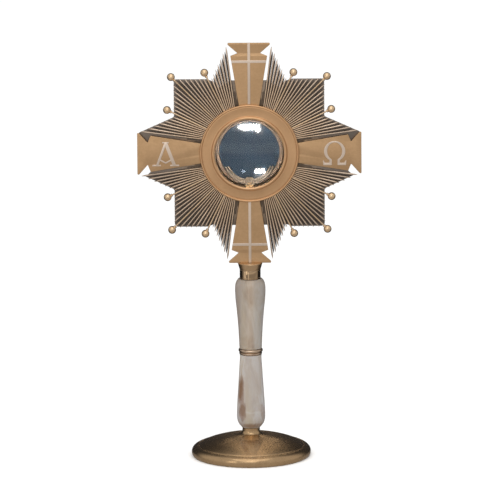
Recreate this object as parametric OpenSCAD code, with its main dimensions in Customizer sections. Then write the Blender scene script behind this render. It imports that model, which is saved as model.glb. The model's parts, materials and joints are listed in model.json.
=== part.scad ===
// Altar monstrance: round spun brass foot, two-piece onyx stem on a tie rod,
// flat cross with fish-tail ends, ray fans, ball finials and a glazed round
// case with a hinged back door and a sliding lunette.
// Units are millimetres. The foot stands on z = 0 with its centre at the
// origin, +Z is up and the face with the window looks towards -Y.

/* [Foot] */
// Largest radius of the spun foot
foot_r = 75.9; // [70:0.1:84]
// Thickness of the spun foot's wall
foot_wall = 1.6; // [1.2:0.1:2]
// Radius of the cast ballast plate under the foot
ballast_r = 66; // [50:1:68]
// Radius of the felt pad
felt_r = 72; // [60:0.5:72.2]
// Thickness of the felt pad
felt_t = 1.4; // [1:0.1:1.4]

/* [Stem] */
// Radius of the threaded tie rod (M8)
rod_r = 4; // [3:0.1:4.2]
// Radial play of the tie rod in its holes
rod_play = 0.6; // [0.4:0.1:0.8]
// Scale of the stone stem pieces' girth
stem_girth = 1; // [0.92:0.01:1.06]
// Radius of the polished collar under the head
collar_r = 13.3; // [12:0.1:14]

/* [Head] */
// Height of the window's centre above the table
head_z = 393; // [380:1:410]
// Reach of each arm from the window's centre
arm_reach = 142; // [141:0.5:144]
// Half width of an arm at the ring
arm_root_w = 12.9; // [11:0.1:14]
// Half width of an arm at its end
arm_end_w = 26.9; // [24:0.1:29]
// Thickness of the flat plates
plate_t = 2; // [2:0.1:2]
// Width of the silver lines
line_w = 3.4; // [2.4:0.1:4.4]
// Thickness of the silver lines and letters
silver_t = 0.6; // [0.4:0.1:0.8]

/* [Rays] */
// Rays in the front layer of one fan, ball rays included
ray_n = 29; // [25:4:37]
// Width of a ray near its root
ray_w0 = 1.3; // [1.1:0.1:1.5]
// Width of a ray near its point
ray_w1 = 2.1; // [1.6:0.1:2.6]
// Width of a rear ray near its root
rear_w0 = 1.4; // [1.1:0.1:1.8]
// Width of a rear ray near its point
rear_w1 = 2.1; // [1.6:0.1:3]
// Thickness of the thin web between the rear rays
web_t = 0.8; // [0.6:0.1:1.4]
// Radius of a ball finial
ball_r = 5; // [4:0.1:6]

/* [Case] */
// Radius of the window opening
win_r = 43.6; // [42.5:0.1:44]
// Outer radius of the flat ring round the window
ring_r = 62.8; // [61:0.1:64]
// Outer radius of the case barrel
barrel_r = 46.9; // [46.5:0.1:47]
// Depth of the barrel behind the plates
barrel_back = 10; // [10:0.5:12]
// Rise of the domed glass
glass_rise = 6; // [3:0.5:8]
// Radius of the slate-blue lining panel in the door
lining_r = 38; // [34:0.5:38.5]

/* [Hidden] */
$fn = 72;

BRASS = [0.76, 0.58, 0.36];
BRIGHT = [0.83, 0.66, 0.43];
AGED = [0.45, 0.36, 0.25];
SILVER = [0.84, 0.77, 0.70];
ONYX = [0.80, 0.76, 0.68];
SLATE = [0.30, 0.34, 0.38];
STEEL = [0.60, 0.61, 0.63];

// heights on the stem
z_neck = 36.4;
gasket_t = 0.4;
z_low0 = z_neck + gasket_t;
z_low1 = 131.6;
z_mid0 = z_low1 + gasket_t;
z_mid1 = 139.4;
z_up0 = z_mid1 + gasket_t;
z_up1 = 230.1;
z_col0 = z_up1 + gasket_t;
z_col1 = 242.2;
z_arm = head_z - arm_reach;      // lower end of the bottom arm

// layers of the head, as depth d towards the viewer (y = -d)
d_back = 0;                      // back of the rear fans
d_mid = plate_t;                 // back of the plates
d_face = 2 * plate_t;            // front of the plates
ring_t = 2;                      // flat ring on the plates

// door hinge axis, turn button axis and lunette pin axis
hinge_x = 51.5;
hinge_y = barrel_back + 1.3;
door_y = barrel_back + 0.3;
door_t = 2;
btn_x = -53;
btn_z = head_z + 6;
clip_y = 3.75;
clip_z = head_z - 36;

// ---- helpers -------------------------------------------------------------
// one point of a Catmull-Rom curve
function cr(a, b, c, d, t) = 0.5 * (2 * b + (c - a) * t
  + (2 * a - 5 * b + 4 * c - d) * t * t + (3 * b - a - 3 * c + d) * t * t * t);
// smooth curve through a list of control points, n steps per span
function curve(P, n) = concat([for (i = [0 : len(P) - 2], k = [0 : n - 1])
  cr(P[max(0, i - 1)], P[i], P[i + 1], P[min(len(P) - 1, i + 2)], k / n)],
  [P[len(P) - 1]]);
// polar point, angle measured from +x
function pol(r, a) = [r * cos(a), r * sin(a)];
function girth(P) = [for (p = P) [p[0] * stem_girth, p[1]]];

// puts a flat shape drawn in the XY plane upright on the head, its z towards
// the viewer, starting at depth d
module face(d) { translate([0, -d, head_z]) rotate([90, 0, 0]) children(); }
// solid of revolution from a list of [r, z] points
module lathe(P) { rotate_extrude($fn = 96) polygon(P); }
// round bar along Y from y0 to y1 at x, z
module bar_y(x, z, y0, y1, r) {
  translate([x, y1, z]) rotate([90, 0, 0]) cylinder(h = y1 - y0, r = r);
}

// ---- foot ----------------------------------------------------------------
FOOT_OUT = [[foot_r - 1.6, 0.3], [foot_r - 0.4, 2.5], [foot_r, 5.5],
  [foot_r - 0.7, 8.3], [foot_r - 2.8, 10.9], [69.8, 12.7], [66.6, 13.6],
  [63.5, 15.1], [58, 17.4], [50, 20.2], [40, 22.9], [30, 25], [20, 26.6],
  [14.5, 28], [12, 29.8], [11.15, 32.6], [11.05, z_neck]];
FOOT_IN = [[9.4, z_neck - foot_wall], [9.5, 31], [11, 27.8], [14, 26.2],
  [20, 25], [30, 23.3], [40, 21.2], [50, 18.5], [58, 15.7], [63, 13.4],
  [66.4, 11.9], [69.4, 10.9], [72.2, 9.2], [73.7, 7.4],
  [foot_r - foot_wall, 5.4], [foot_r - foot_wall - 0.5, 2.8],
  [foot_r - foot_wall - 1.6, 0.3]];

module felt_pad() { color([0.10, 0.25, 0.16])
  difference() {
    cylinder(h = felt_t, r = felt_r);
    translate([0, 0, -1]) cylinder(h = felt_t + 2, r = 12);
  }
}

module ballast_plate() { color([0.25, 0.25, 0.26])
  difference() {
    rotate_extrude() polygon([[0, felt_t], [ballast_r, felt_t],
      [ballast_r, 6.4], [ballast_r - 1, 7.4], [20, 7.4], [16, 9], [12, 20],
      [9, 24], [8.6, z_neck - foot_wall], [0, z_neck - foot_wall]]);
    translate([0, 0, -1]) cylinder(h = 60, r = rod_r + rod_play);
    translate([0, 0, -1]) cylinder(h = 11, r = 10);
  }
}

module foot_shell() { color(BRASS)
  lathe(concat(curve(FOOT_OUT, 3), [[rod_r + rod_play, z_neck],
    [rod_r + rod_play, z_neck - foot_wall]], FOOT_IN));
}

module foot_washer() { color(STEEL) translate([0, 0, 8.6])
  difference() {
    cylinder(h = 1.4, r = 8.8);
    translate([0, 0, -1]) cylinder(h = 4, r = rod_r + 0.3);
  }
}

module foot_nut() { color(STEEL) translate([0, 0, 2.2])
  difference() {
    intersection() {
      cylinder(h = 6.4, r = 7.5, $fn = 6);
      cylinder(h = 6.4, r1 = 7.0, r2 = 7.45);
    }
    translate([0, 0, -1]) cylinder(h = 9, r = rod_r + 0.03);
  }
}

// ---- stem ----------------------------------------------------------------
module tie_rod() { color(STEEL)
  translate([0, 0, 1.9]) {
    cylinder(h = 0.6, r1 = rod_r - 0.6, r2 = rod_r);
    translate([0, 0, 0.6]) cylinder(h = 238.3, r = rod_r);
    translate([0, 0, 238.9]) cylinder(h = 0.6, r1 = rod_r, r2 = rod_r - 0.6);
  }
}

module gasket(z, r) { translate([0, 0, z]) difference() {
    cylinder(h = gasket_t, r = r);
    translate([0, 0, -1]) cylinder(h = 3, r = rod_r + rod_play);
  } }
module stem_gaskets() { color([0.52, 0.36, 0.22]) {
    gasket(z_neck, 10.6);
    gasket(z_low1, 13.2);
    gasket(z_mid1, 13.2);
    gasket(z_up1, 12.4);
  }
}

LOW = girth([[11.9, z_low0], [13.2, 38.3], [15.1, 40.7], [16.8, 43.9],
  [17.7, 47.6], [18, 52], [17.8, 60], [17.4, 70], [16.6, 83], [15.6, 98],
  [14.7, 113], [14, 123], [13.7, 128], [14, z_low1]]);
UP = girth([[14.2, z_up0], [14.5, 146], [14.9, 156], [15.6, 168], [16.5, 180],
  [17.6, 192], [18.8, 203], [19.3, 211], [19.4, 217], [19, 222],
  [17.9, 226], [15.9, 229.2], [14.6, z_up1]]);

module lower_stem() { color(ONYX)
  lathe(concat([[rod_r + rod_play, z_low0]], curve(LOW, 3),
    [[rod_r + rod_play, z_low1]]));
}
module upper_stem() { color(ONYX)
  lathe(concat([[rod_r + rod_play, z_up0]], curve(UP, 3),
    [[rod_r + rod_play, z_up1]]));
}
// turned knop ring with two beads and a hollow between them
module middle_ring() { color(BRIGHT)
  rotate_extrude($fn = 96) difference() {
    union() {
      translate([rod_r + rod_play, z_mid0])
        square([13.6 - rod_r - rod_play, z_mid1 - z_mid0]);
      translate([13.3, z_mid0 + 1.3]) circle(r = 1.3, $fn = 32);
      translate([13.2, z_mid1 - 2.3]) circle(r = 2.3, $fn = 32);
    }
    translate([15.6, z_mid0 + 3]) circle(r = 0.9, $fn = 32);
  }
}
// polished sleeve under the head
module top_collar() { color(BRIGHT)
  rotate_extrude($fn = 96) polygon([[10.05, z_col0], [collar_r - 0.3, z_col0],
    [collar_r, z_col0 + 0.4], [collar_r, z_col1 - 0.4],
    [collar_r - 0.3, z_col1], [10.05, z_col1]]);
}
// cone saddle: spigot in the collar, slot for the bottom arm's tongue
module head_saddle() { color(BRASS)
  difference() {
    lathe([[0, z_col0], [10, z_col0], [10, z_col1], [collar_r, z_col1],
      [14.2, 245], [15.6, z_arm - 0.8], [15.2, z_arm], [0, z_arm]]);
    translate([0, 0, z_col0 - 1]) cylinder(h = z_col1 - z_col0 + 0.4, r = rod_r + 0.03);
    translate([-8.2, -d_face - 0.1, z_arm - 7.7])
      cube([16.4, plate_t + 0.2, 20]);
    for (x = [-6, 6]) {
      bar_y(x, 246.6, -7, 20, 1.55);
      bar_y(x, 246.6, 8, 20, 3);
    }
  }
}
module saddle_screws() { color(STEEL)
  for (x = [-6, 6]) difference() {
    union() {
      bar_y(x, 246.6, -6.8, 8, 1.5);
      bar_y(x, 246.6, 8, 10.4, 2.8);
    }
    translate([x - 0.35, 9.6, 240]) cube([0.7, 3, 14]);
  }
}

// ---- cross arms ----------------------------------------------------------
module arm_outline() {
  difference() {
    polygon([[-arm_root_w, 40], [arm_root_w, 40], [arm_root_w, 62],
      [23.3, 125.2], [14.3, 128.8], [arm_end_w - 0.5, arm_reach - 2.6],
      [arm_end_w, arm_reach - 1.6], [arm_end_w - 0.6, arm_reach],
      [0.6 - arm_end_w, arm_reach], [-arm_end_w, arm_reach - 1.6],
      [0.5 - arm_end_w, arm_reach - 2.6], [-14.3, 128.8], [-23.3, 125.2],
      [-arm_root_w, 62]]);
    circle(r = barrel_r + 0.4, $fn = 120);
  }
}
module screw_hole(a, r) { rotate(a) translate([r, 0]) circle(r = 1.6, $fn = 24); }

module arm_top() { color(BRASS) face(d_mid) linear_extrude(plate_t)
  difference() { arm_outline(); screw_hole(90, 56); }
}
module arm_left() { color(BRASS) face(d_mid) linear_extrude(plate_t)
  difference() { rotate(90) arm_outline(); screw_hole(180, 56); }
}
module arm_right() { color(BRASS) face(d_mid) linear_extrude(plate_t)
  difference() { rotate(-90) arm_outline(); screw_hole(0, 56); }
}
// the bottom arm ends in a tongue that stands in the saddle
module arm_bottom() { color(BRASS) face(d_mid) linear_extrude(plate_t)
  difference() {
    union() {
      rotate(180) arm_outline();
      translate([-8, -arm_reach - 7.5]) square([16, 8]);
    }
    screw_hole(-90, 56);
    for (x = [-6, 6]) translate([x, 246.6 - head_z]) circle(r = 1.6, $fn = 24);
  }
}

// silver Latin cross laid on an arm: a long line and a cross line
module inlay_outline() {
  difference() {
    union() {
      translate([-line_w / 2, 60]) square([line_w, arm_reach - 60.4]);
      translate([-22, 118 - line_w / 2]) square([44, line_w]);
    }
    circle(r = ring_r + 0.2, $fn = 120);
  }
}
module inlay_cross_top() { color(SILVER) face(d_face)
  linear_extrude(silver_t) inlay_outline(); }
module inlay_cross_bottom() { color(SILVER) face(d_face)
  linear_extrude(silver_t) rotate(180) inlay_outline(); }

// Greek capital alpha with a dipped cross bar, drawn from straight strokes
module stroke(a, b, w) {
  l = norm(b - a);
  translate(a) rotate(atan2(b[1] - a[1], b[0] - a[0]))
    translate([0, -w / 2]) square([l, w]);
}
module letter_alpha() { color(SILVER) face(d_face) linear_extrude(silver_t)
  translate([-106, -0.4]) union() {
    difference() {
      union() {
        stroke([-11.4, -14.6], [0.3, 15.2], 3);
        stroke([11.6, -14.6], [-0.5, 15.2], 4.3);
      }
      translate([-20, -20]) square([40, 4.6]);
      translate([-20, 15.4]) square([40, 4.6]);
    }
    translate([-17, -15.6]) square([11, 1.9]);
    translate([5.6, -15.6]) square([11.4, 1.9]);
    translate([-4.4, 13.9]) square([8.4, 1.7]);
    stroke([-9.4, -6.2], [0, -11.4], 1.9);
    stroke([0, -11.4], [9.6, -6.2], 1.9);
    translate([0, -11.4]) circle(r = 0.95, $fn = 24);
  }
}
// Greek capital omega: open bowl on two feet with raised serifs, one outline
// that runs round the bowl, down one foot, back inside and out by the other
OMEGA_FOOT = [[6.6, -9.2], [6.6, -12.4], [12.2, -12.4], [13.9, -9.6],
  [14.9, -9.6], [14.4, -15.6], [3.6, -15.6], [3.6, -8.4]];
module letter_omega() { color(SILVER) face(d_face) linear_extrude(silver_t)
  translate([108, -0.4]) polygon(concat(
    [for (i = [0 : 50]) let (t = -60.7 + 6.028 * i)
      [13.5 * cos(t), 2.4 + 13.2 * sin(t)]],
    [for (p = OMEGA_FOOT) [-p[0], p[1]]],
    [for (i = [0 : 50]) let (t = 242.1 - 6.084 * i)
      [9.4 * cos(t), 2.4 + 11.3 * sin(t)]],
    [for (i = [len(OMEGA_FOOT) - 1 : -1 : 0]) OMEGA_FOOT[i]]));
}

// ---- rays ----------------------------------------------------------------
// a quadrant's outline, angles from its first arm's axis
tip_0 = 11.9;                    // first point's angle at the tips
root_0 = 17.9;                   // first ray's angle at the ring
function ball_slot(i) = i == (ray_n - 1) / 4 || i == (ray_n - 1) / 2
  || i == 3 * (ray_n - 1) / 4;
function tip_a(i) = tip_0 + (90 - 2 * tip_0) * i / (ray_n - 1);
function root_a(i) = root_0 + (90 - 2 * root_0) * i / (ray_n - 1);
// the outline's sloping flank beside an arm, as [along the arm, across it]
FLANK = [[137, 28.9], [98.3, 46.4]];
flank_d = FLANK[1] - FLANK[0];
// reach of a point at angle a: sloping flank by the arm, straight flank
// between the ball rays
function reach_half(a) = a < 26.4
  ? (flank_d[0] * FLANK[0][1] - flank_d[1] * FLANK[0][0])
    / (flank_d[0] * sin(a) - flank_d[1] * cos(a))
  : 96 / cos(a);
function reach(a) = a <= 45 ? reach_half(a) : reach_half(90 - a);
module ray(p, q, w0, w1) {
  l = norm(q - p);
  translate(p) rotate(atan2(q[1] - p[1], q[0] - p[0]))
    polygon([[0, -w0 / 2], [l - 7, -w1 / 2], [l - 0.3, -0.25], [l - 0.3, 0.25],
      [l - 7, w1 / 2], [0, w0 / 2]]);
}
// root plate between two arms, under the flat ring
module root_sector() {
  difference() {
    circle(r = 60.4, $fn = 120);
    circle(r = barrel_r + 0.4, $fn = 120);
    translate([-80, -80]) square([160, 80 + arm_root_w + 0.3]);
    translate([-80, -80]) square([80 + arm_root_w + 0.3, 160]);
    screw_hole(22.5, 56);
    screw_hole(67.5, 56);
  }
}
module front_fan() { linear_extrude(plate_t) difference() {
    union() {
      root_sector();
      for (i = [0 : ray_n - 1]) if (!ball_slot(i))
        ray(pol(59.4, root_a(i)), pol(reach(tip_a(i)), tip_a(i)), ray_w0, ray_w1);
    }
    for (i = [1 : 3]) ball_axis_slot(i);
  }
}
// slot in the root plate for a ball ray
module ball_axis_slot(i) {
  p = ball_root(i);
  q = ball_tip(i);
  translate(p) rotate(atan2(q[1] - p[1], q[0] - p[0]))
    translate([0, -1.06]) square([30, 2.12]);
}
function ball_i(k) = k * (ray_n - 1) / 4;
function ball_root(k) = pol(52, root_a(ball_i(k)));
function ball_reach(k) = k == 2 ? 139.5 : 118.2;
function ball_tip(k) = pol(ball_reach(k), tip_a(ball_i(k)));
// outline of the web, from the level arm round to the upright arm, where it
// stops short and leaves the points free; filled also fills the end's notch
function web_outline(filled) = concat(
  filled ? [[128.6, 12.6], [140.4, 25.8], [138.4, 27.6], [133, 29.8]]
    : [[121, 20], [131.6, 29.9]],
  [[97, 45.9], [95.2, 47.6], [95.2, 92], [92, 95.2], [53.2, 95.2],
    [45.2, 92], [37.4, 84], [23.2, 93.4], [13.4, 93.4]],
  [for (k = [0 : 12]) pol(59, 80 - 70 * k / 12)]);
// upright: the upright arm is on the local x axis
module rear_fan(upright, filled) {
  linear_extrude(plate_t) union() {
    root_sector();
    for (i = [0 : ray_n - 2])
      ray(pol(59.4, root_a(i + 0.5)),
        pol(reach(tip_a(i + 0.5)) - 2.4, tip_a(i + 0.5)), rear_w0, rear_w1);
  }
  linear_extrude(web_t) polygon([for (p = web_outline(filled))
    upright ? [p[1], p[0]] : p]);
}
module fan_upper_right() { color(BRIGHT) face(d_mid) front_fan(); }
module fan_upper_left() { color(BRIGHT) face(d_mid) rotate(90) front_fan(); }
module fan_lower_left() { color(BRIGHT) face(d_mid) rotate(180) front_fan(); }
module fan_lower_right() { color(BRIGHT) face(d_mid) rotate(270) front_fan(); }
module rear_fan_upper_right() { color(AGED) face(d_back) rear_fan(false, true); }
module rear_fan_upper_left() { color(AGED) face(d_back) rotate(90) rear_fan(true, true); }
module rear_fan_lower_left() { color(AGED) face(d_back) rotate(180) rear_fan(false, false); }
module rear_fan_lower_right() { color(AGED) face(d_back) rotate(270) rear_fan(true, false); }

// places children along each ball ray, x outwards, origin at its root
module on_ball_rays() {
  face(d_mid + plate_t / 2) for (a = [0 : 90 : 270], k = [1 : 3]) {
    p = ball_root(k);
    q = ball_tip(k);
    rotate(a) translate([p[0], p[1], 0])
      rotate([0, 0, atan2(q[1] - p[1], q[0] - p[0])]) {
        $len = norm(q - p);
        children();
      }
  }
}
module ball_rays() { color(BRIGHT) on_ball_rays()
  rotate([0, 90, 0]) cylinder(h = $len - 2, r = 1, $fn = 32);
}
module ball_finials() { color(BRIGHT) on_ball_rays()
  difference() {
    union() {
      translate([$len, 0, 0]) sphere(r = ball_r, $fn = 48);
      translate([$len - ball_r - 1.6, 0, 0]) rotate([0, 90, 0])
        cylinder(h = 2.6, r = 2.1, $fn = 32);
    }
    translate([$len - ball_r - 3, 0, 0]) rotate([0, 90, 0])
      cylinder(h = ball_r + 1.4, r = 1.03, $fn = 32);
  }
}

// ---- case ----------------------------------------------------------------
SCREW_A = [0, 22.5, 67.5, 90, 112.5, 157.5, 180, 202.5, 247.5, 270, 292.5, 337.5];

// flat ring on the face with an outer and an inner bead
module bezel_ring() { color(BRASS)
  difference() {
    face(d_face) rotate_extrude($fn = 120) union() {
      translate([win_r, 0]) square([ring_r - win_r, ring_t]);
      translate([win_r + 2.2, ring_t + 0.4]) circle(r = 2.2, $fn = 40);
      translate([ring_r - 1.3, ring_t + 0.2]) circle(r = 1.3, $fn = 40);
    }
    face(d_face) for (a = SCREW_A) rotate(a) translate([56, 0, -1])
      cylinder(h = 2.4, r = 1.25, $fn = 24);
  }
}
// barrel with a flange behind the fans and a rebate for the glass
module case_barrel() { color(BRASS)
  difference() {
    face(0) rotate_extrude($fn = 120) polygon([
      [win_r, -barrel_back], [barrel_r, -barrel_back], [barrel_r, -2],
      [61.6, -2], [62, -1.6], [62, 0], [barrel_r, 0], [barrel_r, d_face],
      [win_r + 2, d_face], [win_r + 2, d_face - 2.4],
      [win_r, d_face - 2.4]]);
    for (a = SCREW_A) face(-3) rotate(a) translate([56, 0, 0])
      cylinder(h = 4, r = 1.6, $fn = 24);
    face(-3) translate([btn_x, btn_z - head_z, 0]) cylinder(h = 4, r = 1.8, $fn = 24);
    // countersunk hole for the track screw
    translate([0, 3, head_z - 50]) cylinder(h = 10, r = 1.1, $fn = 24);
    translate([0, 3, head_z - barrel_r - 0.4]) cylinder(h = 1.6, r = 2.1, $fn = 24);
  }
}
module glass_gasket() { color([0.12, 0.12, 0.12])
  face(d_face - 2.4) rotate_extrude($fn = 96)
    polygon([[win_r + 0.4, 0], [win_r + 1.9, 0], [win_r + 1.9, 0.5],
      [win_r + 0.4, 0.5]]);
}
// domed glass with a flat rim held under the ring
glass_r = win_r - 0.2;
dome_r = (glass_r * glass_r + glass_rise * glass_rise) / (2 * glass_rise);
function dome(r, t) = sqrt(pow(dome_r - t, 2) - r * r) - (dome_r - glass_rise);
module front_glass() { color([0.75, 0.85, 0.9, 0.35])
  face(d_face) rotate_extrude($fn = 96) polygon(concat(
    [for (i = [0 : 12]) [glass_r * i / 12, dome(glass_r * i / 12, 0)]],
    [[win_r + 1.8, 0], [win_r + 1.8, -1.8]],
    [for (i = [12 : -1 : 0]) [(glass_r - 0.4) * i / 12,
      dome((glass_r - 0.4) * i / 12, 1.8)]]));
}
module head_screws() { color(STEEL)
  for (a = SCREW_A) face(-3.4) rotate(a) translate([56, 0, 0]) difference() {
    union() {
      translate([0, 0, 1.4]) cylinder(h = d_face + 3, r = 1.2, $fn = 24);
      cylinder(h = 1.4, r1 = 2.1, r2 = 2.6, $fn = 24);
    }
    translate([-4, -0.3, -1]) cube([8, 0.6, 1.5]);
  }
}

// fixed hinge leaf: two posts on the flange that carry the outer knuckles
module hinge_bracket() { color(BRASS)
  for (s = [-1, 1]) difference() {
    union() {
      translate([hinge_x - 2.2, 2, head_z + (s > 0 ? 4.3 : -12)])
        cube([4.4, hinge_y - 2, 7.7]);
      translate([hinge_x, hinge_y, head_z + (s > 0 ? 4.3 : -12)])
        cylinder(h = 7.7, r = 2.8, $fn = 48);
    }
    translate([hinge_x, hinge_y, head_z - 20]) cylinder(h = 40, r = 1.3, $fn = 32);
  }
}
module hinge_pin() { color(STEEL) translate([hinge_x, hinge_y, head_z]) {
    translate([0, 0, -12.6]) cylinder(h = 24.6, r = 1.25, $fn = 32);
    translate([0, 0, 12]) cylinder(h = 1.2, r1 = 2.2, r2 = 1.6, $fn = 32);
  }
}

// post, turn button and its screw
module button_post() { color(BRASS)
  difference() {
    union() {
      bar_y(btn_x, btn_z, 2, 12.6, 3.2);
      bar_y(btn_x, btn_z, -0.0, 2, 1.75);
    }
    bar_y(btn_x, btn_z, 6, 14, 0.93);
  }
}
module button_screw() { color(STEEL)
  difference() {
    union() {
      bar_y(btn_x, btn_z, 6.2, 14.4, 0.9);
      bar_y(btn_x, btn_z, 12.6, 14.5, 1.5);
      bar_y(btn_x, btn_z, 14.5, 15.7, 2.5);
    }
    translate([btn_x - 3, 15.2, btn_z - 0.3]) cube([6, 2, 0.6]);
  }
}
module turn_button() { color(BRIGHT)
  difference() {
    union() {
      bar_y(btn_x, btn_z, 12.8, 14.3, 3.4);
      translate([btn_x, 14.3, btn_z]) rotate([90, 0, 0])
        linear_extrude(1.5) polygon([[2.8, 0], [-2.8, 0], [-1.9, -9.2],
          [-1.2, -10.8], [0, -11.4], [1.2, -10.8], [1.9, -9.2]]);
      bar_y(btn_x, btn_z - 8.4, 14.2, 16.2, 1.4);
    }
    bar_y(btn_x, btn_z, 10, 20, 1.56);
  }
}

// ---- back door -----------------------------------------------------------
module door_plate() { color(BRASS)
  difference() {
    union() {
      face(-door_y - door_t) rotate_extrude($fn = 120) polygon([[0, 0.5],
        [33.6, 0.5], [34.4, 0], [46.2, 0], [47, 0.8], [47, door_t], [0, door_t]]);
      translate([44, door_y, head_z - 4]) cube([hinge_x - 44, door_t, 8]);
      translate([hinge_x, hinge_y, head_z - 4]) cylinder(h = 8, r = 2.8, $fn = 48);
    }
    translate([hinge_x, hinge_y, head_z - 10]) cylinder(h = 20, r = 1.3, $fn = 32);
    bar_y(-29, head_z, door_y + 0.8, 20, 1.53);
    for (a = [45 : 90 : 315]) rotate_head(a) translate([40.6, 0, 0])
      bar_y(0, 0, 8, 20, 0.95);
  }
}
module rotate_head(a) { translate([0, 0, head_z]) rotate([0, a, 0]) children(); }
module door_lining() { color(SLATE)
  face(-door_y) cylinder(h = 0.8, r = lining_r - 0.1, $fn = 120);
}
module lining_ring() { color(BRASS)
  difference() {
    face(-door_y) rotate_extrude($fn = 120) polygon([[lining_r, 0],
      [win_r - 0.6, 0], [win_r - 0.6, 2.6], [win_r - 1, 3],
      [lining_r + 0.6, 3], [lining_r, 2.2]]);
    for (a = [45 : 90 : 315]) rotate_head(a) translate([40.6, 0, 0])
      bar_y(0, 0, door_y - 2.2, 20, 0.85);
  }
}
module lining_screws() { color(STEEL)
  for (a = [45 : 90 : 315]) rotate_head(a) translate([40.6, 0, 0])
    difference() {
      union() {
        bar_y(0, 0, door_y - 2, door_y + door_t, 0.82);
        bar_y(0, 0, door_y + door_t, door_y + door_t + 1, 1.7);
      }
      translate([-3, door_y + door_t + 0.6, -0.25]) cube([6, 2, 0.5]);
    }
}
module door_knob() { color(BRIGHT)
  difference() {
    union() {
      translate([-29, door_y + door_t - 0.5, head_z]) rotate([-90, 0, 0])
        rotate_extrude($fn = 48) polygon(concat([[0, 0]],
          curve([[3.2, 0], [2.9, 0.8], [1.9, 1.8], [2, 3.2], [4.1, 5],
            [4.6, 6.4], [4, 8], [2, 8.9], [0, 9.1]], 2)));
      bar_y(-29, head_z, door_y + 0.8, door_y + door_t - 0.4, 1.5);
    }
    translate([-29.35, door_y + 0.7, head_z - 0.35]) cube([0.7, 0.5, 0.7]);
  }
}

// ---- lunette -------------------------------------------------------------
// rail on the floor of the case
module lunette_track() { color(BRASS)
  difference() {
    intersection() {
      translate([0, 0, head_z]) union() {
        translate([-5, -1.4, -45]) cube([10, 7.8, 3.8]);
        translate([-1.5, -1.4, -42]) cube([3, 7.8, 2.4]);
        translate([-3, -1.4, -40]) cube([6, 7.8, 1.6]);
      }
      face(-20) cylinder(h = 40, r = win_r, $fn = 120);
    }
    translate([0, 3, head_z - 46]) cylinder(h = 6.4, r = 0.85, $fn = 24);
  }
}
module track_screw() { color(STEEL)
  translate([0, 3, head_z - barrel_r + 0.1]) difference() {
    union() {
      cylinder(h = 1.0, r = 2.0, $fn = 24);
      translate([0, 0, 1.0]) cylinder(h = 5.2, r = 0.82, $fn = 24);
    }
    translate([-3, -0.25, -1]) cube([6, 0.5, 1.4]);
  }
}
// front crescent in one piece with its foot, which rides on the rail
module lunette_front() { color(SILVER)
  difference() {
    union() {
      face(-0.5) linear_extrude(1.5) difference() {
        translate([0, -8]) circle(r = 32, $fn = 96);
        translate([0, -5.6]) circle(r = 31.2, $fn = 96);
        translate([-40, -17.6]) square([80, 60]);
      }
      // foot: block on the rail, cheek behind the crescent
      translate([0, 0.5, head_z]) rotate([90, 0, 0]) linear_extrude(1.5)
        polygon([[-6.2, -40.9], [6.2, -40.9], [5, -33], [3.4, -31.4],
          [-3.4, -31.4], [-5, -33]]);
      translate([-6.2, -1, head_z - 40.9]) cube([12.4, 5.75, 3.3]);
      // lugs that hold the clip's pin
      for (s = [-1, 1]) {
        translate([s > 0 ? 2.5 : -4.6, 2.85, head_z - 37.8]) cube([2.1, 1.8, 1.8]);
        translate([s > 0 ? 2.5 : -4.6, clip_y, clip_z]) rotate([0, 90, 0])
          cylinder(h = 2.1, r = 1, $fn = 32);
      }
    }
    translate([-1.8, -3, head_z - 42]) cube([3.6, 10, 3]);
    translate([-3.3, -3, head_z - 40.3]) cube([6.6, 10, 2.2]);
    translate([-10, clip_y, clip_z]) rotate([0, 90, 0])
      cylinder(h = 20, r = 0.6, $fn = 32);
  }
}
// hinged rear crescent that clasps the wafer
module lunette_clip() { color(SILVER)
  difference() {
    union() {
      face(-2.4) linear_extrude(1.3) difference() {
        translate([0, -8]) circle(r = 29.2, $fn = 96);
        translate([0, -6.4]) circle(r = 28, $fn = 96);
        translate([-40, -17.6]) square([80, 60]);
      }
      translate([-2.2, 2.3, head_z - 36.9]) cube([4.4, 1.4, 1.8]);
      translate([-2.2, clip_y, clip_z]) rotate([0, 90, 0])
        cylinder(h = 4.4, r = 1, $fn = 32);
    }
    translate([-10, clip_y, clip_z]) rotate([0, 90, 0])
      cylinder(h = 20, r = 0.6, $fn = 32);
  }
}
module lunette_pin() { color(STEEL)
  translate([-4.9, clip_y, clip_z]) rotate([0, 90, 0])
    cylinder(h = 9.8, r = 0.56, $fn = 32);
}

felt_pad();
ballast_plate();
foot_shell();
foot_washer();
foot_nut();
tie_rod();
stem_gaskets();
lower_stem();
middle_ring();
upper_stem();
top_collar();
head_saddle();
saddle_screws();
arm_top();
arm_bottom();
arm_left();
arm_right();
inlay_cross_top();
inlay_cross_bottom();
letter_alpha();
letter_omega();
fan_upper_right();
fan_upper_left();
fan_lower_left();
fan_lower_right();
rear_fan_upper_right();
rear_fan_upper_left();
rear_fan_lower_left();
rear_fan_lower_right();
ball_rays();
ball_finials();
bezel_ring();
case_barrel();
glass_gasket();
front_glass();
head_screws();
hinge_bracket();
hinge_pin();
button_post();
button_screw();
turn_button();
door_plate();
door_lining();
lining_ring();
lining_screws();
door_knob();
lunette_track();
track_screw();
lunette_front();
lunette_clip();
lunette_pin();
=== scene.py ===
import bpy
import bmesh
import json
import math
from mathutils import Vector, Matrix, noise

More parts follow.
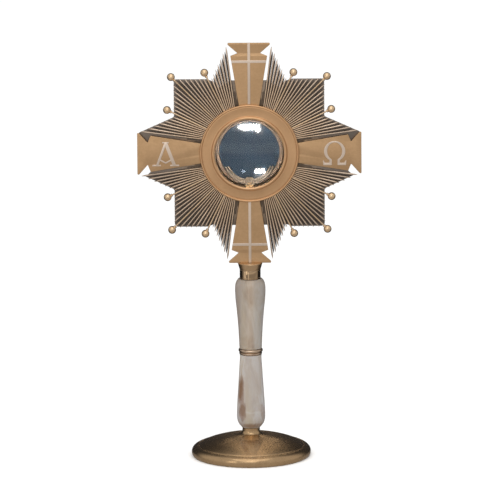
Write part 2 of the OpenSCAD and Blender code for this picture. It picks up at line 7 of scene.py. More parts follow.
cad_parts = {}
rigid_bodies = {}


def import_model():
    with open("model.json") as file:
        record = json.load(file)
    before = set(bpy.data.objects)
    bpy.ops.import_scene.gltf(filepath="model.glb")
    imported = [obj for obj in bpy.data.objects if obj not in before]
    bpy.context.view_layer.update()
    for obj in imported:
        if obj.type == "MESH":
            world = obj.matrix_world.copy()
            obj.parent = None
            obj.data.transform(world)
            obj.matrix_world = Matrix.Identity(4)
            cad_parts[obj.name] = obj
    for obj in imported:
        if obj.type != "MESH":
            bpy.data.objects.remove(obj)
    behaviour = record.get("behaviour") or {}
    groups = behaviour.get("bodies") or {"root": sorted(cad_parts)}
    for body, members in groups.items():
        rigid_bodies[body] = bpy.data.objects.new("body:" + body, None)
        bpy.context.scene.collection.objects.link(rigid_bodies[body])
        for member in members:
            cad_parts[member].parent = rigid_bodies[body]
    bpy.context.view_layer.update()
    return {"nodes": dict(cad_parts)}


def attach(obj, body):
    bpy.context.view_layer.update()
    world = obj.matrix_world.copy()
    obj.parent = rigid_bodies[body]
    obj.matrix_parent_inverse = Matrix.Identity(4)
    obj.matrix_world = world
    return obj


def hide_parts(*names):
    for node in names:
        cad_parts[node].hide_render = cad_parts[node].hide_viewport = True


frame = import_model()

MM = 0.001
HZ = 393.0                       # window centre above the table, mm
scene = bpy.context.scene
coll = scene.collection
NODES = frame["nodes"]

# ---------------------------------------------------------------- camera ----
TARGET = Vector((0.0, 0.0, 0.2669))
CAM_DIST = 10.0
CAM_ELEV = math.radians(12.0)
cam_data = bpy.data.cameras.new("studio_camera")
cam_data.sensor_width = 36.0
cam_data.lens = 566.9
cam_data.clip_end = 100.0
cam = bpy.data.objects.new("studio_camera", cam_data)
coll.objects.link(cam)
cam.location = TARGET + Vector((0, -math.cos(CAM_ELEV), math.sin(CAM_ELEV))) * CAM_DIST
cam.rotation_mode = "QUATERNION"
cam.rotation_quaternion = (TARGET - cam.location).to_track_quat("-Z", "Y") @ \
    Matrix.Rotation(math.radians(-0.38), 4, "Z").to_quaternion()
scene.camera = cam
scene.view_settings.view_transform = "Standard"
scene.view_settings.look = "None"


# -------------------------------------------------------------- node kit ----
class Mat:
    """Small helper that builds one procedural material."""

    def __init__(self, name):
        self.m = bpy.data.materials.new(name)
        self.m.use_nodes = True
        self.t = self.m.node_tree
        self.t.nodes.clear()
        self.out = self.t.nodes.new("ShaderNodeOutputMaterial")
        self.b = self.t.nodes.new("ShaderNodeBsdfPrincipled")
        self.t.links.new(self.b.outputs[0], self.out.inputs["Surface"])
        self.co = self.t.nodes.new("ShaderNodeTexCoord").outputs["Object"]

    def node(self, kind, **kw):
        n = self.t.nodes.new(kind)
        for k, v in kw.items():
            setattr(n, k, v)
        return n

    def link(self, a, b):
        self.t.links.new(a, b)

    def put(self, sock, v):
        if hasattr(v, "is_output"):
            self.link(v, sock)
        else:
            sock.default_value = v

    def math(self, op, a, b=0.0, clamp=False):
        n = self.node("ShaderNodeMath", operation=op, use_clamp=clamp)
        self.put(n.inputs[0], a)
        self.put(n.inputs[1], b)
        return n.outputs[0]

    def mapping(self, scale, rot=(0, 0, 0), loc=(0, 0, 0), co=None):
        n = self.node("ShaderNodeMapping")
        n.inputs["Scale"].default_value = scale
        n.inputs["Rotation"].default_value = rot
        n.inputs["Location"].default_value = loc
        self.link(co if co is not None else self.co, n.inputs["Vector"])
        return n.outputs[0]

    def noise(self, scale, detail=3.0, rough=0.5, dist=0.0, co=None, color=False):
        n = self.node("ShaderNodeTexNoise")
        n.inputs["Scale"].default_value = scale
        n.inputs["Detail"].default_value = detail
        n.inputs["Roughness"].default_value = rough
        n.inputs["Distortion"].default_value = dist
        self.link(co if co is not None else self.co, n.inputs["Vector"])
        return n.outputs["Color" if color else "Fac"]

    def ramp(self, fac, *stops, interp="LINEAR"):
        n = self.node("ShaderNodeValToRGB")
        n.color_ramp.interpolation = interp
        e = n.color_ramp.elements
        while len(e) < len(stops):
            e.new(0.5)
        for el, (p, c) in zip(e, stops):
            el.position = p
            el.color = (c, c, c, 1) if isinstance(c, (int, float)) else (*c, 1)
        self.link(fac, n.inputs[0])
        return n.outputs[0]

    def mix(self, fac, a, b, blend="MIX"):
        n = self.node("ShaderNodeMix", data_type="RGBA", blend_type=blend)
        self.put(n.inputs[0], fac)
        for s, v in ((n.inputs[6], a), (n.inputs[7], b)):
            if isinstance(v, (tuple, list)):
                s.default_value = (*v, 1) if len(v) == 3 else v
            else:
                self.link(v, s)
        return n.outputs[2]

    def bump(self, height, dist, strength=1.0, normal=None):
        n = self.node("ShaderNodeBump")
        n.inputs["Strength"].default_value = strength
        n.inputs["Distance"].default_value = dist
        self.link(height, n.inputs["Height"])
        if normal is not None:
            self.link(normal, n.inputs["Normal"])
        return n.outputs[0]

    def turned(self, axis, centre=(0.0, 0.0)):
        """(radius, height) sockets for lathe marks about Z at the origin, or about Y at (x, z) = centre."""
        sep = self.node("ShaderNodeSeparateXYZ")
        self.link(self.co, sep.inputs[0])
        x, y, z = sep.outputs
        if axis == "Z":
            a, b, h = x, y, z
        else:
            a = self.math("SUBTRACT", x, centre[0])
            b = self.math("SUBTRACT", z, centre[1])
            h = y
        r = self.math("SQRT", self.math("ADD", self.math("MULTIPLY", a, a),
                                         self.math("MULTIPLY", b, b)))
        return r, h

    def vec(self, x, y=0.0, z=0.0):
        n = self.node("ShaderNodeCombineXYZ")
        for s, v in zip(n.inputs, (x, y, z)):
            self.put(s, v)
        return n.outputs[0]

    def ao(self, dist, samples=6, inside=False):
        n = self.node("ShaderNodeAmbientOcclusion", samples=samples, inside=inside)
        n.inputs["Distance"].default_value = dist
        return n.outputs["AO"]


# final tone of each finish
GAIN = {
    # painted shade: the lunette inside the case is toned down to about half
    "lunette_silver_gilt": (0.56, 0.50, 0.46),
    "foot_spun_brass": (0.901, 1.015, 1.16),
    "knop_turned_brass": (1.044, 1.089, 1.109),
    "onyx_lower_stem": (1.017, 1.012, 0.999),
    "onyx_upper_stem": (1.013, 0.988, 0.994),
    "ray_brass_bright": (1, 1, 1.05),
    "ray_brass_front": (1.127, 1.169, 1.311),
    "ray_brass_rear": (1.127, 1.169, 1.311),
    "satin_gilt_plate": (1.057, 1.075, 1.141),
    "satin_gilt_ring": (1.024, 0.987, 1.012),
    "satin_gilt_saddle": (0.98, 1.057, 1.18),
    "satin_silver": (1.1, 1.08, 1.08),
}


def toned(name, colour):
    return tuple(min(0.95, c * g) for c, g in zip(colour, GAIN.get(name, (1.0, 1.0, 1.0))))


def metal(name, base, dark, rough, kind=None, centre=(0.0, 0.0), line=2600.0,
          line_h=3e-6, patina=0.25, blot=38.0, crevice_shade=0.0, crevice_shade_dist=0.003,
          wave=0.0, rvar=0.05, aniso=0.0, wear=0.0, light=None, fade=None,
          turn=0.0, depth_shade=None, streak=0.12):
    """Brass, silver or steel: blotchy tone, fine tool or brushing marks, painted shade in the corners and between
    parts.
    """
    k = Mat(name)
    k.b.inputs["Metallic"].default_value = 1.0
    base, dark = toned(name, base), toned(name, dark)
    n1 = k.noise(blot, 5.0, 0.6, 0.4)
    n2 = k.noise(blot * 7.3, 4.0, 0.55)
    tone = k.math("ADD", k.math("MULTIPLY", n1, 0.65), k.math("MULTIPLY", n2, 0.35))
    fac = k.math("MULTIPLY", k.ramp(tone, (0.36, 0.0), (0.68, 1.0)), patina)
    col = k.mix(fac, base, dark)
    if light is not None:
        col = k.mix(k.math("MULTIPLY", k.ramp(n2, (0.5, 0.0), (0.75, 1.0)), 0.5), col, light)
    rsock = k.math("ADD", k.math("MULTIPLY", n2, 2 * rvar), rough - rvar)
    if fade is not None:
        # a colour blended in by radius from the window's axis: (radius from, radius to, colour, amount[, noise
        # jitter]); darker away from the ring on the rays, darker towards the axis when the radii are reversed; on the
        # rear rays and the case's inner wall it is painted shade
        fr, _ = k.turned("Y", (0.0, HZ * MM))
        rr = k.node("ShaderNodeMapRange", interpolation_type="SMOOTHSTEP")
        k.link(k.math("ADD", fr, k.math("MULTIPLY", k.math("SUBTRACT", n2, 0.5),
                                                fade[4] if len(fade) > 4 else 0.02)), rr.inputs[0])
        rr.inputs[1].default_value = fade[0] * MM
        rr.inputs[2].default_value = fade[1] * MM
        rr.inputs[3].default_value = 0.0
        rr.inputs[4].default_value = fade[3]
        col = k.mix(rr.outputs[0], col, toned(name, fade[2]))
    if depth_shade is not None:
        # painted shade by depth towards the viewer, full from 1.7 mm and none below 0.9 mm, so the rear layer darkens
        # where it shows between the front rays: (depth from, depth to, colour, amount)
        sp = k.node("ShaderNodeSeparateXYZ")
        k.link(k.co, sp.inputs[0])
        dr = k.node("ShaderNodeMapRange", interpolation_type="SMOOTHSTEP")
        k.link(k.math("MULTIPLY", sp.outputs[1], -1.0), dr.inputs[0])
        for i, v in enumerate((depth_shade[0] * MM, depth_shade[1] * MM, depth_shade[3], 0.0)):
            dr.inputs[i + 1].default_value = v
        col = k.mix(dr.outputs[0], col, toned(name, depth_shade[2]))
    # painted shade: where ambient occlusion finds nearby surfaces (corners, creases, between parts), the colour
    # darkens towards near black and the roughness rises
    if crevice_shade > 0:
        a = k.ao(crevice_shade_dist)
        g = k.math("MULTIPLY", k.ramp(a, (0.25, 1.0), (0.85, 0.0)), crevice_shade)
        col = k.mix(g, col, tuple(c * 0.16 for c in dark))
        rsock = k.math("ADD", rsock, k.math("MULTIPLY", g, 0.25))
    if kind in ("Z", "Y"):
        r, h = k.turned(kind, centre)
        v = k.vec(k.math("MULTIPLY", r, line), k.math("MULTIPLY", h, line), 0.0)
        lines = k.noise(1.0, 3.0, 0.7, 0.0, v)
    elif kind == "X":
        lines = k.noise(1.0, 3.0, 0.7, 0.0, k.mapping((line * 0.03, line, line)))
    elif kind == "V":
        lines = k.noise(1.0, 3.0, 0.7, 0.0, k.mapping((line, line, line * 0.03)))
    else:
        lines = k.noise(line * 0.45, 3.0, 0.7)
    if wear > 0:
        geo = k.node("ShaderNodeNewGeometry")
        w = k.math("MULTIPLY", k.ramp(geo.outputs["Pointiness"], (0.52, 0.0), (0.6, 1.0)), wear)
        col = k.mix(w, col, tuple(min(1.0, c * 1.25) for c in base))
    col = k.mix(k.math("MULTIPLY", k.ramp(lines, (0.3, 1.0), (0.5, 0.0)), streak), col, dark)
    k.link(col, k.b.inputs["Base Color"])
    k.link(rsock, k.b.inputs["Roughness"])
    nrm = k.bump(lines, line_h)
    pits = k.noise(1400.0, 2.0, 0.5)
    nrm = k.bump(pits, 2.0e-6, 1.0, nrm)
    if wave > 0:
        nrm = k.bump(k.noise(26.0, 2.0, 0.5), wave, 1.0, nrm)
    k.link(nrm, k.b.inputs["Normal"])
    if aniso > 0 and kind in ("Z", "Y"):
        k.b.inputs["Anisotropic"].default_value = aniso
        k.b.inputs["Anisotropic Rotation"].default_value = turn
        tg = k.node("ShaderNodeTangent", direction_type="RADIAL", axis=kind)
        k.link(tg.outputs[0], k.b.inputs["Tangent"])
    return k.m


BR = (0.72, 0.47, 0.245)
BRD = (0.34, 0.19, 0.085)
M_FOOT = metal("foot_spun_brass", (0.66, 0.415, 0.215), (0.36, 0.205, 0.10), 0.26, "Z",
               line=1500.0, line_h=2.2e-6, patina=0.5, blot=42.0, crevice_shade=0.35,
               crevice_shade_dist=0.003, wave=6.0e-5, rvar=0.05, aniso=0.60, turn=0.25)
M_COLLAR = metal("collar_turned_brass", (0.47, 0.345, 0.225), (0.24, 0.145, 0.075), 0.075, "Z",
                 line=3000.0, line_h=1.2e-6, patina=0.2, crevice_shade=0.5, crevice_shade_dist=0.0015, rvar=0.03)
M_KNOP = metal("knop_turned_brass", (0.66, 0.51, 0.40), (0.30, 0.19, 0.13), 0.27, "Z",
               line=2600.0, line_h=3.0e-6, patina=0.6, blot=150.0, crevice_shade=0.45, crevice_shade_dist=0.0012,
               rvar=0.08)
M_SATIN = metal("satin_gilt_plate", (0.645, 0.425, 0.235), (0.40, 0.25, 0.125), 0.42, "X",
                line=2600.0, line_h=3.5e-6, patina=0.42, blot=42.0, crevice_shade=0.30,
                crevice_shade_dist=0.0015, rvar=0.07, streak=0.22)
M_SATIN_Z = metal("satin_gilt_saddle", (0.62, 0.405, 0.225), (0.38, 0.235, 0.12), 0.36, "Z",
                  line=2400.0, line_h=3.0e-6, patina=0.30, crevice_shade=0.6, crevice_shade_dist=0.003, rvar=0.06)
M_RING = metal("satin_gilt_ring", (0.70, 0.465, 0.26), (0.44, 0.27, 0.14), 0.36, "Y",
               (0.0, HZ * MM), line=2200.0, line_h=3.5e-6, patina=0.28, blot=30.0,
               crevice_shade=0.35, crevice_shade_dist=0.0012, rvar=0.05, aniso=0.6, streak=0.25)
M_RAY = metal("ray_brass_front", (0.82, 0.63, 0.43), (0.50, 0.36, 0.23), 0.38, None,
              line=2600.0, line_h=2.5e-6, patina=0.40, blot=60.0, crevice_shade=0.25,
              crevice_shade_dist=0.0010, rvar=0.07, fade=(72.0, 125.0, (0.60, 0.50, 0.40), 0.6))
M_BALLRAY = metal("ray_brass_bright", (0.84, 0.66, 0.45), (0.44, 0.30, 0.18), 0.32, None,
                  line=2600.0, line_h=2.0e-6, patina=0.3, blot=60.0, crevice_shade=0.4,
                  crevice_shade_dist=0.0012, rvar=0.05)
# painted shade: the rear rays are a darker copy of the ray brass, darker still towards their tips and where they show
# between the front rays
M_REAR = metal("ray_brass_rear", (0.42, 0.315, 0.21), (0.22, 0.16, 0.105), 0.42, None,
               line=2600.0, line_h=3.0e-6, patina=0.5, blot=60.0, crevice_shade=0.4,
               crevice_shade_dist=0.0015, rvar=0.07, fade=(64.0, 104.0, (0.17, 0.15, 0.13), 0.85),
               depth_shade=(1.7, 0.9, (0.085, 0.072, 0.060), 0.75))
M_BALL = metal("finial_brass", (0.88, 0.68, 0.46), (0.50, 0.33, 0.18), 0.36, None, line=2400.0,
               line_h=1.5e-6, patina=0.25, blot=120.0, crevice_shade=0.4, crevice_shade_dist=0.0015, rvar=0.05)
# painted shade: the fade turns this finish dark brown inside 44.4 mm of the window's axis, chiefly on the barrel's
# inner wall
M_CASE = metal("case_spun_brass", (0.60, 0.40, 0.215), (0.30, 0.18, 0.09), 0.30, "Y",
               (0.0, HZ * MM), line=1800.0, line_h=3.5e-6, patina=0.4, blot=40.0,
               crevice_shade=0.7, crevice_shade_dist=0.004, rvar=0.07, aniso=0.35,
               fade=(45.4, 44.4, (0.10, 0.065, 0.042), 0.92, 0.0006))
# painted shade: the door's inner rim, deep behind the glass, is given a near-black brown
M_INNER = metal("inner_rim_painted_shade", (0.15, 0.098, 0.064), (0.07, 0.046, 0.03), 0.55, "Y",
                (0.0, HZ * MM), line=1800.0, line_h=3.5e-6, patina=0.5, blot=50.0,
                crevice_shade=0.8, crevice_shade_dist=0.004, rvar=0.07)
M_HW = metal("machined_brass", (0.66, 0.45, 0.24), BRD, 0.24, None, line=2400.0,
             line_h=2.0e-6, patina=0.35, blot=90.0, crevice_shade=0.6, crevice_shade_dist=0.002, rvar=0.06)
M_KNOB = metal("knob_brass", (0.72, 0.49, 0.26), BRD, 0.14, "Y", (-0.029, HZ * MM),
               line=2600.0, line_h=1.8e-6, patina=0.3, blot=120.0, crevice_shade=0.6,
               crevice_shade_dist=0.002, rvar=0.04)
M_SILVER = metal("satin_silver", (0.80, 0.705, 0.62), (0.52, 0.44, 0.38), 0.36, "V",
                 line=2600.0, line_h=2.5e-6, patina=0.28, blot=60.0, crevice_shade=0.6,
                 crevice_shade_dist=0.0012, rvar=0.06)
M_LUNE = metal("lunette_silver_gilt", (0.80, 0.70, 0.56), (0.45, 0.34, 0.22), 0.20, "Y",
               (0.0, HZ * MM), line=2400.0, line_h=2.0e-6, patina=0.35, blot=90.0,
               crevice_shade=0.6, crevice_shade_dist=0.0015, rvar=0.05)
M_STEEL = metal("zinc_steel", (0.50, 0.50, 0.49), (0.26, 0.25, 0.24), 0.33, None,
                line=2200.0, line_h=3.0e-6, patina=0.45, blot=140.0, crevice_shade=0.6,
                crevice_shade_dist=0.0012, rvar=0.08)


def onyx(name, seed, brown, tone, side_shade_bands):
    """Polished cream onyx: grey and cream clouds drawn out along the stem, thin veins, a brown patch."""
    k = Mat(name)
    tone = toned(name, tone)
    warp = k.noise(14.0, 3.0, 0.5, 0.0, k.mapping((1, 1, 0.5), loc=(seed, 0, 0)), color=True)
    wob = k.node("ShaderNodeVectorMath", operation="SCALE")
    k.link(warp, wob.inputs[0])
    wob.inputs["Scale"].default_value = 0.018
    add = k.node("ShaderNodeVectorMath", operation="ADD")
    k.link(k.mapping((1, 1, 0.32), loc=(seed, seed * 0.7, 0)), add.inputs[0])
    k.link(wob.outputs[0], add.inputs[1])
    p = add.outputs[0]
    cloud = k.noise(62.0, 6.0, 0.62, 0.6, p)
    fine = k.noise(330.0, 5.0, 0.6, 0.2, p)
    base = k.ramp(cloud, (0.30, (0.395, 0.335, 0.285)), (0.46, (0.475, 0.425, 0.375)),
                  (0.60, (0.53, 0.505, 0.48)), (0.74, (0.60, 0.575, 0.545)))
    base = k.mix(1.0, base, tone, "MULTIPLY")
    warm = k.noise(48.0, 3.0, 0.5, 0.3, k.mapping((1, 1, 0.14), loc=(0, seed, 0.3)))
    base = k.mix(k.math("MULTIPLY", k.ramp(warm, (0.48, 0.0), (0.68, 1.0)), 0.38),
                 base, tuple(a * b for a, b in zip((0.52, 0.43, 0.27), tone)))
    base = k.mix(k.math("MULTIPLY", k.ramp(fine, (0.35, 1.0), (0.52, 0.0)), 0.22),
                 base, (0.34, 0.29, 0.25))
    vn = k.node("ShaderNodeTexVoronoi", feature="DISTANCE_TO_EDGE")
    vn.inputs["Scale"].default_value = 38.0
    k.link(p, vn.inputs["Vector"])
    vein = k.math("MULTIPLY", k.ramp(vn.outputs["Distance"], (0.0, 1.0), (0.035, 0.0)), 0.30)
    base = k.mix(vein, base, tuple(a * b for a, b in zip((0.62, 0.58, 0.53), tone)))
    # broad upright colour bands across the stem by X, wandering a little: partly the stone's tint, partly painted
    # shade, lighter in the middle and darker towards the sides
    sx = k.node("ShaderNodeSeparateXYZ")
    k.link(k.co, sx.inputs[0])
    lay = k.math("ADD", k.math("MULTIPLY", sx.outputs[0], 1.0 / 0.042), 0.5)
    lay = k.math("ADD", lay, k.math("MULTIPLY", k.math("SUBTRACT", warm, 0.5), 0.30))
    base = k.mix(1.0, base, k.ramp(lay, *side_shade_bands, interp="EASE"), "MULTIPLY")
    # brown iron staining about a few places, broken up by noise
    sep = k.node("ShaderNodeSeparateXYZ")
    k.link(k.co, sep.inputs[0])
    total = None
    for (cx, cy, cz, rx, rz, amt) in brown:
        dx = k.math("DIVIDE", k.math("SUBTRACT", sep.outputs[0], cx * MM), rx * MM)
        dy = k.math("DIVIDE", k.math("SUBTRACT", sep.outputs[1], cy * MM), rx * 1.6 * MM)
        dz = k.math("DIVIDE", k.math("SUBTRACT", sep.outputs[2], cz * MM), rz * MM)
        d = k.math("ADD", k.math("ADD", k.math("MULTIPLY", dx, dx), k.math("MULTIPLY", dy, dy)),
                   k.math("MULTIPLY", dz, dz))
        d = k.math("ADD", d, k.math("MULTIPLY", k.math("SUBTRACT", fine, 0.5), 1.0))
        d = k.math("ADD", d, k.math("MULTIPLY", k.math("SUBTRACT", cloud, 0.5), 1.8))
        f = k.math("MULTIPLY", k.ramp(d, (0.0, 1.0), (0.45, 0.62), (1.0, 0.0), interp="EASE"), amt)
        total = f if total is None else k.math("MAXIMUM", total, f)
    if total is not None:
        base = k.mix(total, base, (0.185, 0.105, 0.062))
    k.link(base, k.b.inputs["Base Color"])
    rough = k.math("ADD", k.math("MULTIPLY", fine, 0.16), 0.14)
    k.link(rough, k.b.inputs["Roughness"])
    k.b.inputs["IOR"].default_value = 1.49
    k.b.inputs["Subsurface Weight"].default_value = 0.25
    k.b.inputs["Subsurface Radius"].default_value = (1.0, 0.75, 0.5)
    k.b.inputs["Subsurface Scale"].default_value = 0.003
    nrm = k.bump(fine, 1.5e-5)
    nrm = k.bump(k.noise(30.0, 2.0, 0.5), 6.0e-5, 1.0, nrm)
    k.link(nrm, k.b.inputs["Normal"])
    return k.m


M_ONYX_LO = onyx("onyx_lower_stem", 0.13,
                 [(-13, -11, 86, 5.0, 24, 0.95), (-11, -13, 60, 6.0, 14, 0.85),
                  (2, -15, 40.5, 14, 4.5, 0.7), (14, -8, 60, 4, 16, 0.5), (14, 4, 66, 5, 22, 0.4)],
                 (0.80, 0.82, 0.87),
                 [(0.08, (0.98, 0.96, 0.97)), (0.34, (1.0, 0.99, 1.0)), (0.52, (1.0, 1.0, 1.0)),
                  (0.78, (0.92, 0.89, 0.86)), (0.95, (0.86, 0.86, 0.88))])
M_ONYX_UP = onyx("onyx_upper_stem", 0.71,
                 [(-16, -6, 176, 5, 34, 0.25), (12, 10, 190, 5, 30, 0.35), (2, -17, 150, 6, 10, 0.15)],
                 (0.66, 0.655, 0.62),
                 [(0.06, (0.80, 0.77, 0.78)), (0.30, (0.88, 0.83, 0.78)), (0.47, (1.04, 0.965, 0.89)),
                  (0.68, (0.90, 0.90, 0.90)), (0.92, (0.80, 0.82, 0.88))])


def enamel():
    k = Mat("slate_enamel")
    n1 = k.noise(40.0, 4.0, 0.55)
    n2 = k.noise(900.0, 3.0, 0.6)
    col = k.mix(k.ramp(n1, (0.35, 0.0), (0.65, 1.0)), (0.0064, 0.0124, 0.0196), (0.0083, 0.0161, 0.0254))
    col = k.mix(k.math("MULTIPLY", k.ramp(n2, (0.62, 0.0), (0.75, 1.0)), 0.15), col, (0.12, 0.14, 0.16))
    k.link(col, k.b.inputs["Base Color"])
    k.link(k.math("ADD", k.math("MULTIPLY", n2, 0.12), 0.45), k.b.inputs["Roughness"])
    k.b.inputs["Specular IOR Level"].default_value = 0.0
    k.link(k.bump(n2, 1.2e-5, 1.0, k.bump(k.noise(220.0, 3.0, 0.5), 2.5e-5)), k.b.inputs["Normal"])
    return k.m


def glass():
    k = Mat("clear_glass")
    k.b.inputs["Transmission Weight"].default_value = 1.0
    k.b.inputs["IOR"].default_value = 1.30
    k.b.inputs["Coat Weight"].default_value = 0.45
    k.b.inputs["Coat Roughness"].default_value = 0.055
    k.b.inputs["Specular IOR Level"].default_value = 0.0
    dust = k.noise(55.0, 6.0, 0.65)
    tint = k.mix(k.ramp(dust, (0.45, 0.0), (0.8, 1.0)), (0.975, 0.985, 0.985), (0.93, 0.945, 0.95))
    k.link(tint, k.b.inputs["Base Color"])
    smear = k.noise(30.0, 4.0, 0.6, 1.2, k.mapping((1.0, 1.0, 2.4)))
    k.link(k.math("MULTIPLY", k.ramp(smear, (0.5, 0.0), (0.85, 1.0)), 0.012), k.b.inputs["Roughness"])
    k.link(k.bump(k.noise(14.0, 1.0, 0.4), 8.0e-7), k.b.inputs["Normal"])
    return k.m


def felt():
    k = Mat("green_felt")
    f = k.noise(2400.0, 4.0, 0.7)
    c = k.noise(160.0, 4.0, 0.6)
    col = k.mix(k.ramp(c, (0.3, 0.0), (0.7, 1.0)), (0.018, 0.070, 0.040), (0.030, 0.105, 0.060))
    col = k.mix(k.math("MULTIPLY", k.ramp(f, (0.55, 0.0), (0.72, 1.0)), 0.5), col, (0.07, 0.17, 0.11))
    k.link(col, k.b.inputs["Base Color"])
    k.b.inputs["Roughness"].default_value = 0.95
    k.b.inputs["Sheen Weight"].default_value = 0.5
    k.b.inputs["Sheen Roughness"].default_value = 0.5
    k.link(k.bump(f, 1.8e-4, 1.0, k.bump(c, 2.0e-4)), k.b.inputs["Normal"])
    return k.m


def iron():
    k = Mat("black_cast_iron")
    f = k.noise(700.0, 5.0, 0.65)
    c = k.noise(60.0, 4.0, 0.6)
    col = k.mix(k.ramp(c, (0.4, 0.0), (0.75, 1.0)), (0.030, 0.030, 0.032), (0.055, 0.048, 0.042))
    k.link(col, k.b.inputs["Base Color"])
    k.b.inputs["Metallic"].default_value = 0.3
    k.link(k.math("ADD", k.math("MULTIPLY", f, 0.3), 0.45), k.b.inputs["Roughness"])
    k.link(k.bump(f, 1.5e-4), k.b.inputs["Normal"])
    return k.m


def leather():
    k = Mat("washer_leather")
    v = k.node("ShaderNodeTexVoronoi", feature="DISTANCE_TO_EDGE")
    v.inputs["Scale"].default_value = 1400.0
    k.link(k.co, v.inputs["Vector"])
    f = k.noise(500.0, 4.0, 0.6)
    col = k.mix(f, (0.16, 0.085, 0.045), (0.30, 0.17, 0.09))
    k.link(col, k.b.inputs["Base Color"])
    k.link(k.math("ADD", k.math("MULTIPLY", f, 0.25), 0.5), k.b.inputs["Roughness"])
    k.link(k.bump(v.outputs["Distance"], 6.0e-5, 1.0, k.bump(f, 5.0e-5)), k.b.inputs["Normal"])
    return k.m


def rubber():
    k = Mat("gasket_rubber")
    f = k.noise(1500.0, 3.0, 0.6)
    col = k.mix(f, (0.018, 0.018, 0.018), (0.04, 0.039, 0.038))
    k.link(col, k.b.inputs["Base Color"])
    k.link(k.math("ADD", k.math("MULTIPLY", f, 0.2), 0.55), k.b.inputs["Roughness"])
    k.link(k.bump(f, 2.0e-5), k.b.inputs["Normal"])
    return k.m


M_ENAMEL, M_GLASS, M_FELT, M_IRON = enamel(), glass(), felt(), iron()
M_LEATHER, M_RUBBER = leather(), rubber()


# -------------------------------------------------------------- mesh kit ----
def finish_mesh(me, mat, sharp=34.0):
    bm = bmesh.new()
    bm.from_mesh(me)
    bmesh.ops.remove_doubles(bm, verts=bm.verts, dist=2e-7)
    bmesh.ops.dissolve_degenerate(bm, dist=1e-8, edges=bm.edges)
    bmesh.ops.recalc_face_normals(bm, faces=bm.faces)
    for f in bm.faces:
        f.smooth = True
    bm.to_mesh(me)
    bm.free()
    me.set_sharp_from_angle(angle=math.radians(sharp))
    me.materials.clear()
    me.materials.append(mat)


def piece(name, me, body, slot, *replaced, mat=None, sharp=34.0):
    if mat is not None:
        finish_mesh(me, mat, sharp)
    o = bpy.data.objects.new(name, me)
    coll.objects.link(o)
    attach(o, body)
    if replaced:
        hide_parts(*replaced)
    return o


def cr(a, b, c, d, t):
    return tuple(0.5 * (2 * b[i] + (c[i] - a[i]) * t + (2 * a[i] - 5 * b[i] + 4 * c[i] - d[i]) * t * t
                        + (3 * b[i] - a[i] - 3 * c[i] + d[i]) * t ** 3) for i in (0, 1))


def curve(P, n):
    out = []
    for i in range(len(P) - 1):
        for k in range(n):
            out.append(cr(P[max(0, i - 1)], P[i], P[i + 1], P[min(len(P) - 1, i + 2)], k / n))
    return out + [tuple(P[-1])]


def fillet(P, n=4, closed=True):
    """Rounds each corner of a polygon; a point is (x, y) or (x, y, radius)."""
    out = []
    m = len(P)
    for i, p in enumerate(P):
        r = p[2] if len(p) > 2 else 0.0
        if r <= 0 or (not closed and i in (0, m - 1)):
            out.append((p[0], p[1]))
            continue
        a, b = Vector(P[(i - 1) % m][:2]), Vector(P[(i + 1) % m][:2])
        c = Vector(p[:2])
        u, v = (a - c), (b - c)
        lu, lv = u.length, v.length
        u.normalize()
        v.normalize()
        ang = u.angle(v)
        if ang > math.radians(176):
            out.append((p[0], p[1]))
            continue
        t = min(r / math.tan(ang / 2), lu * 0.49, lv * 0.49)
        r2 = t * math.tan(ang / 2)
        bis = (u + v).normalized()
        o = c + bis * (r2 / math.sin(ang / 2))
        s, e = c + u * t, c + v * t
        a0 = math.atan2(s.y - o.y, s.x - o.x)
        a1 = math.atan2(e.y - o.y, e.x - o.x)
        d = (a1 - a0 + math.pi) % (2 * math.pi) - math.pi
        for k in range(n + 1):
            w = a0 + d * k / n
            out.append((o.x + r2 * math.cos(w), o.y + r2 * math.sin(w)))
    return out


def arc(cx, cy, r, a0, a1, n):
    return [(cx + r * math.cos(math.radians(a0 + (a1 - a0) * k / n)),
             cy + r * math.sin(math.radians(a0 + (a1 - a0) * k / n))) for k in range(n + 1)]


def face_pt(x, y, d, hz=HZ):
    """Local point of the upright face: x across, y up from the window's centre, d towards the viewer."""
    return Vector((x, -d, hz + y)) * MM


def lathe(name, prof, segs=128, axis="Z", centre=(0.0, HZ), warp=None, closed=True):
    """Solid of revolution from a closed profile in mm. Axis Z: (r, z). Axis Y: (r, depth towards the viewer)."""
    bm = bmesh.new()
    rings = []
    for (r, h) in prof:
        if abs(r) < 1e-6:
            pts = [bm.verts.new(Vector((0, 0, h)) * MM if axis == "Z"
                                else Vector((centre[0], -h, centre[1])) * MM)]
        else:
            pts = []
            for k in range(segs):
                t = 2 * math.pi * k / segs
                c, s = math.cos(t), math.sin(t)
                dr, dh = warp(r, h, t) if warp else (0.0, 0.0)
                rr, hh = r + dr, h + dh
                if axis == "Z":
                    p = Vector((rr * c, rr * s, hh))
                else:
                    p = Vector((centre[0] + rr * c, -hh, centre[1] + rr * s))
                pts.append(bm.verts.new(p * MM))
        rings.append(pts)
    m = len(rings)
    for i in range(m if closed else m - 1):
        a, b = rings[i], rings[(i + 1) % m]
        if len(a) == 1 and len(b) == 1:
            continue
        for k in range(segs):
            k2 = (k + 1) % segs
            if len(a) == 1:
                bm.faces.new((a[0], b[k], b[k2]))
            elif len(b) == 1:
                bm.faces.new((a[k], b[0], a[k2]))
            else:
                bm.faces.new((a[k], b[k], b[k2], a[k2]))
    me = bpy.data.meshes.new(name)
    bm.to_mesh(me)
    bm.free()
    return me


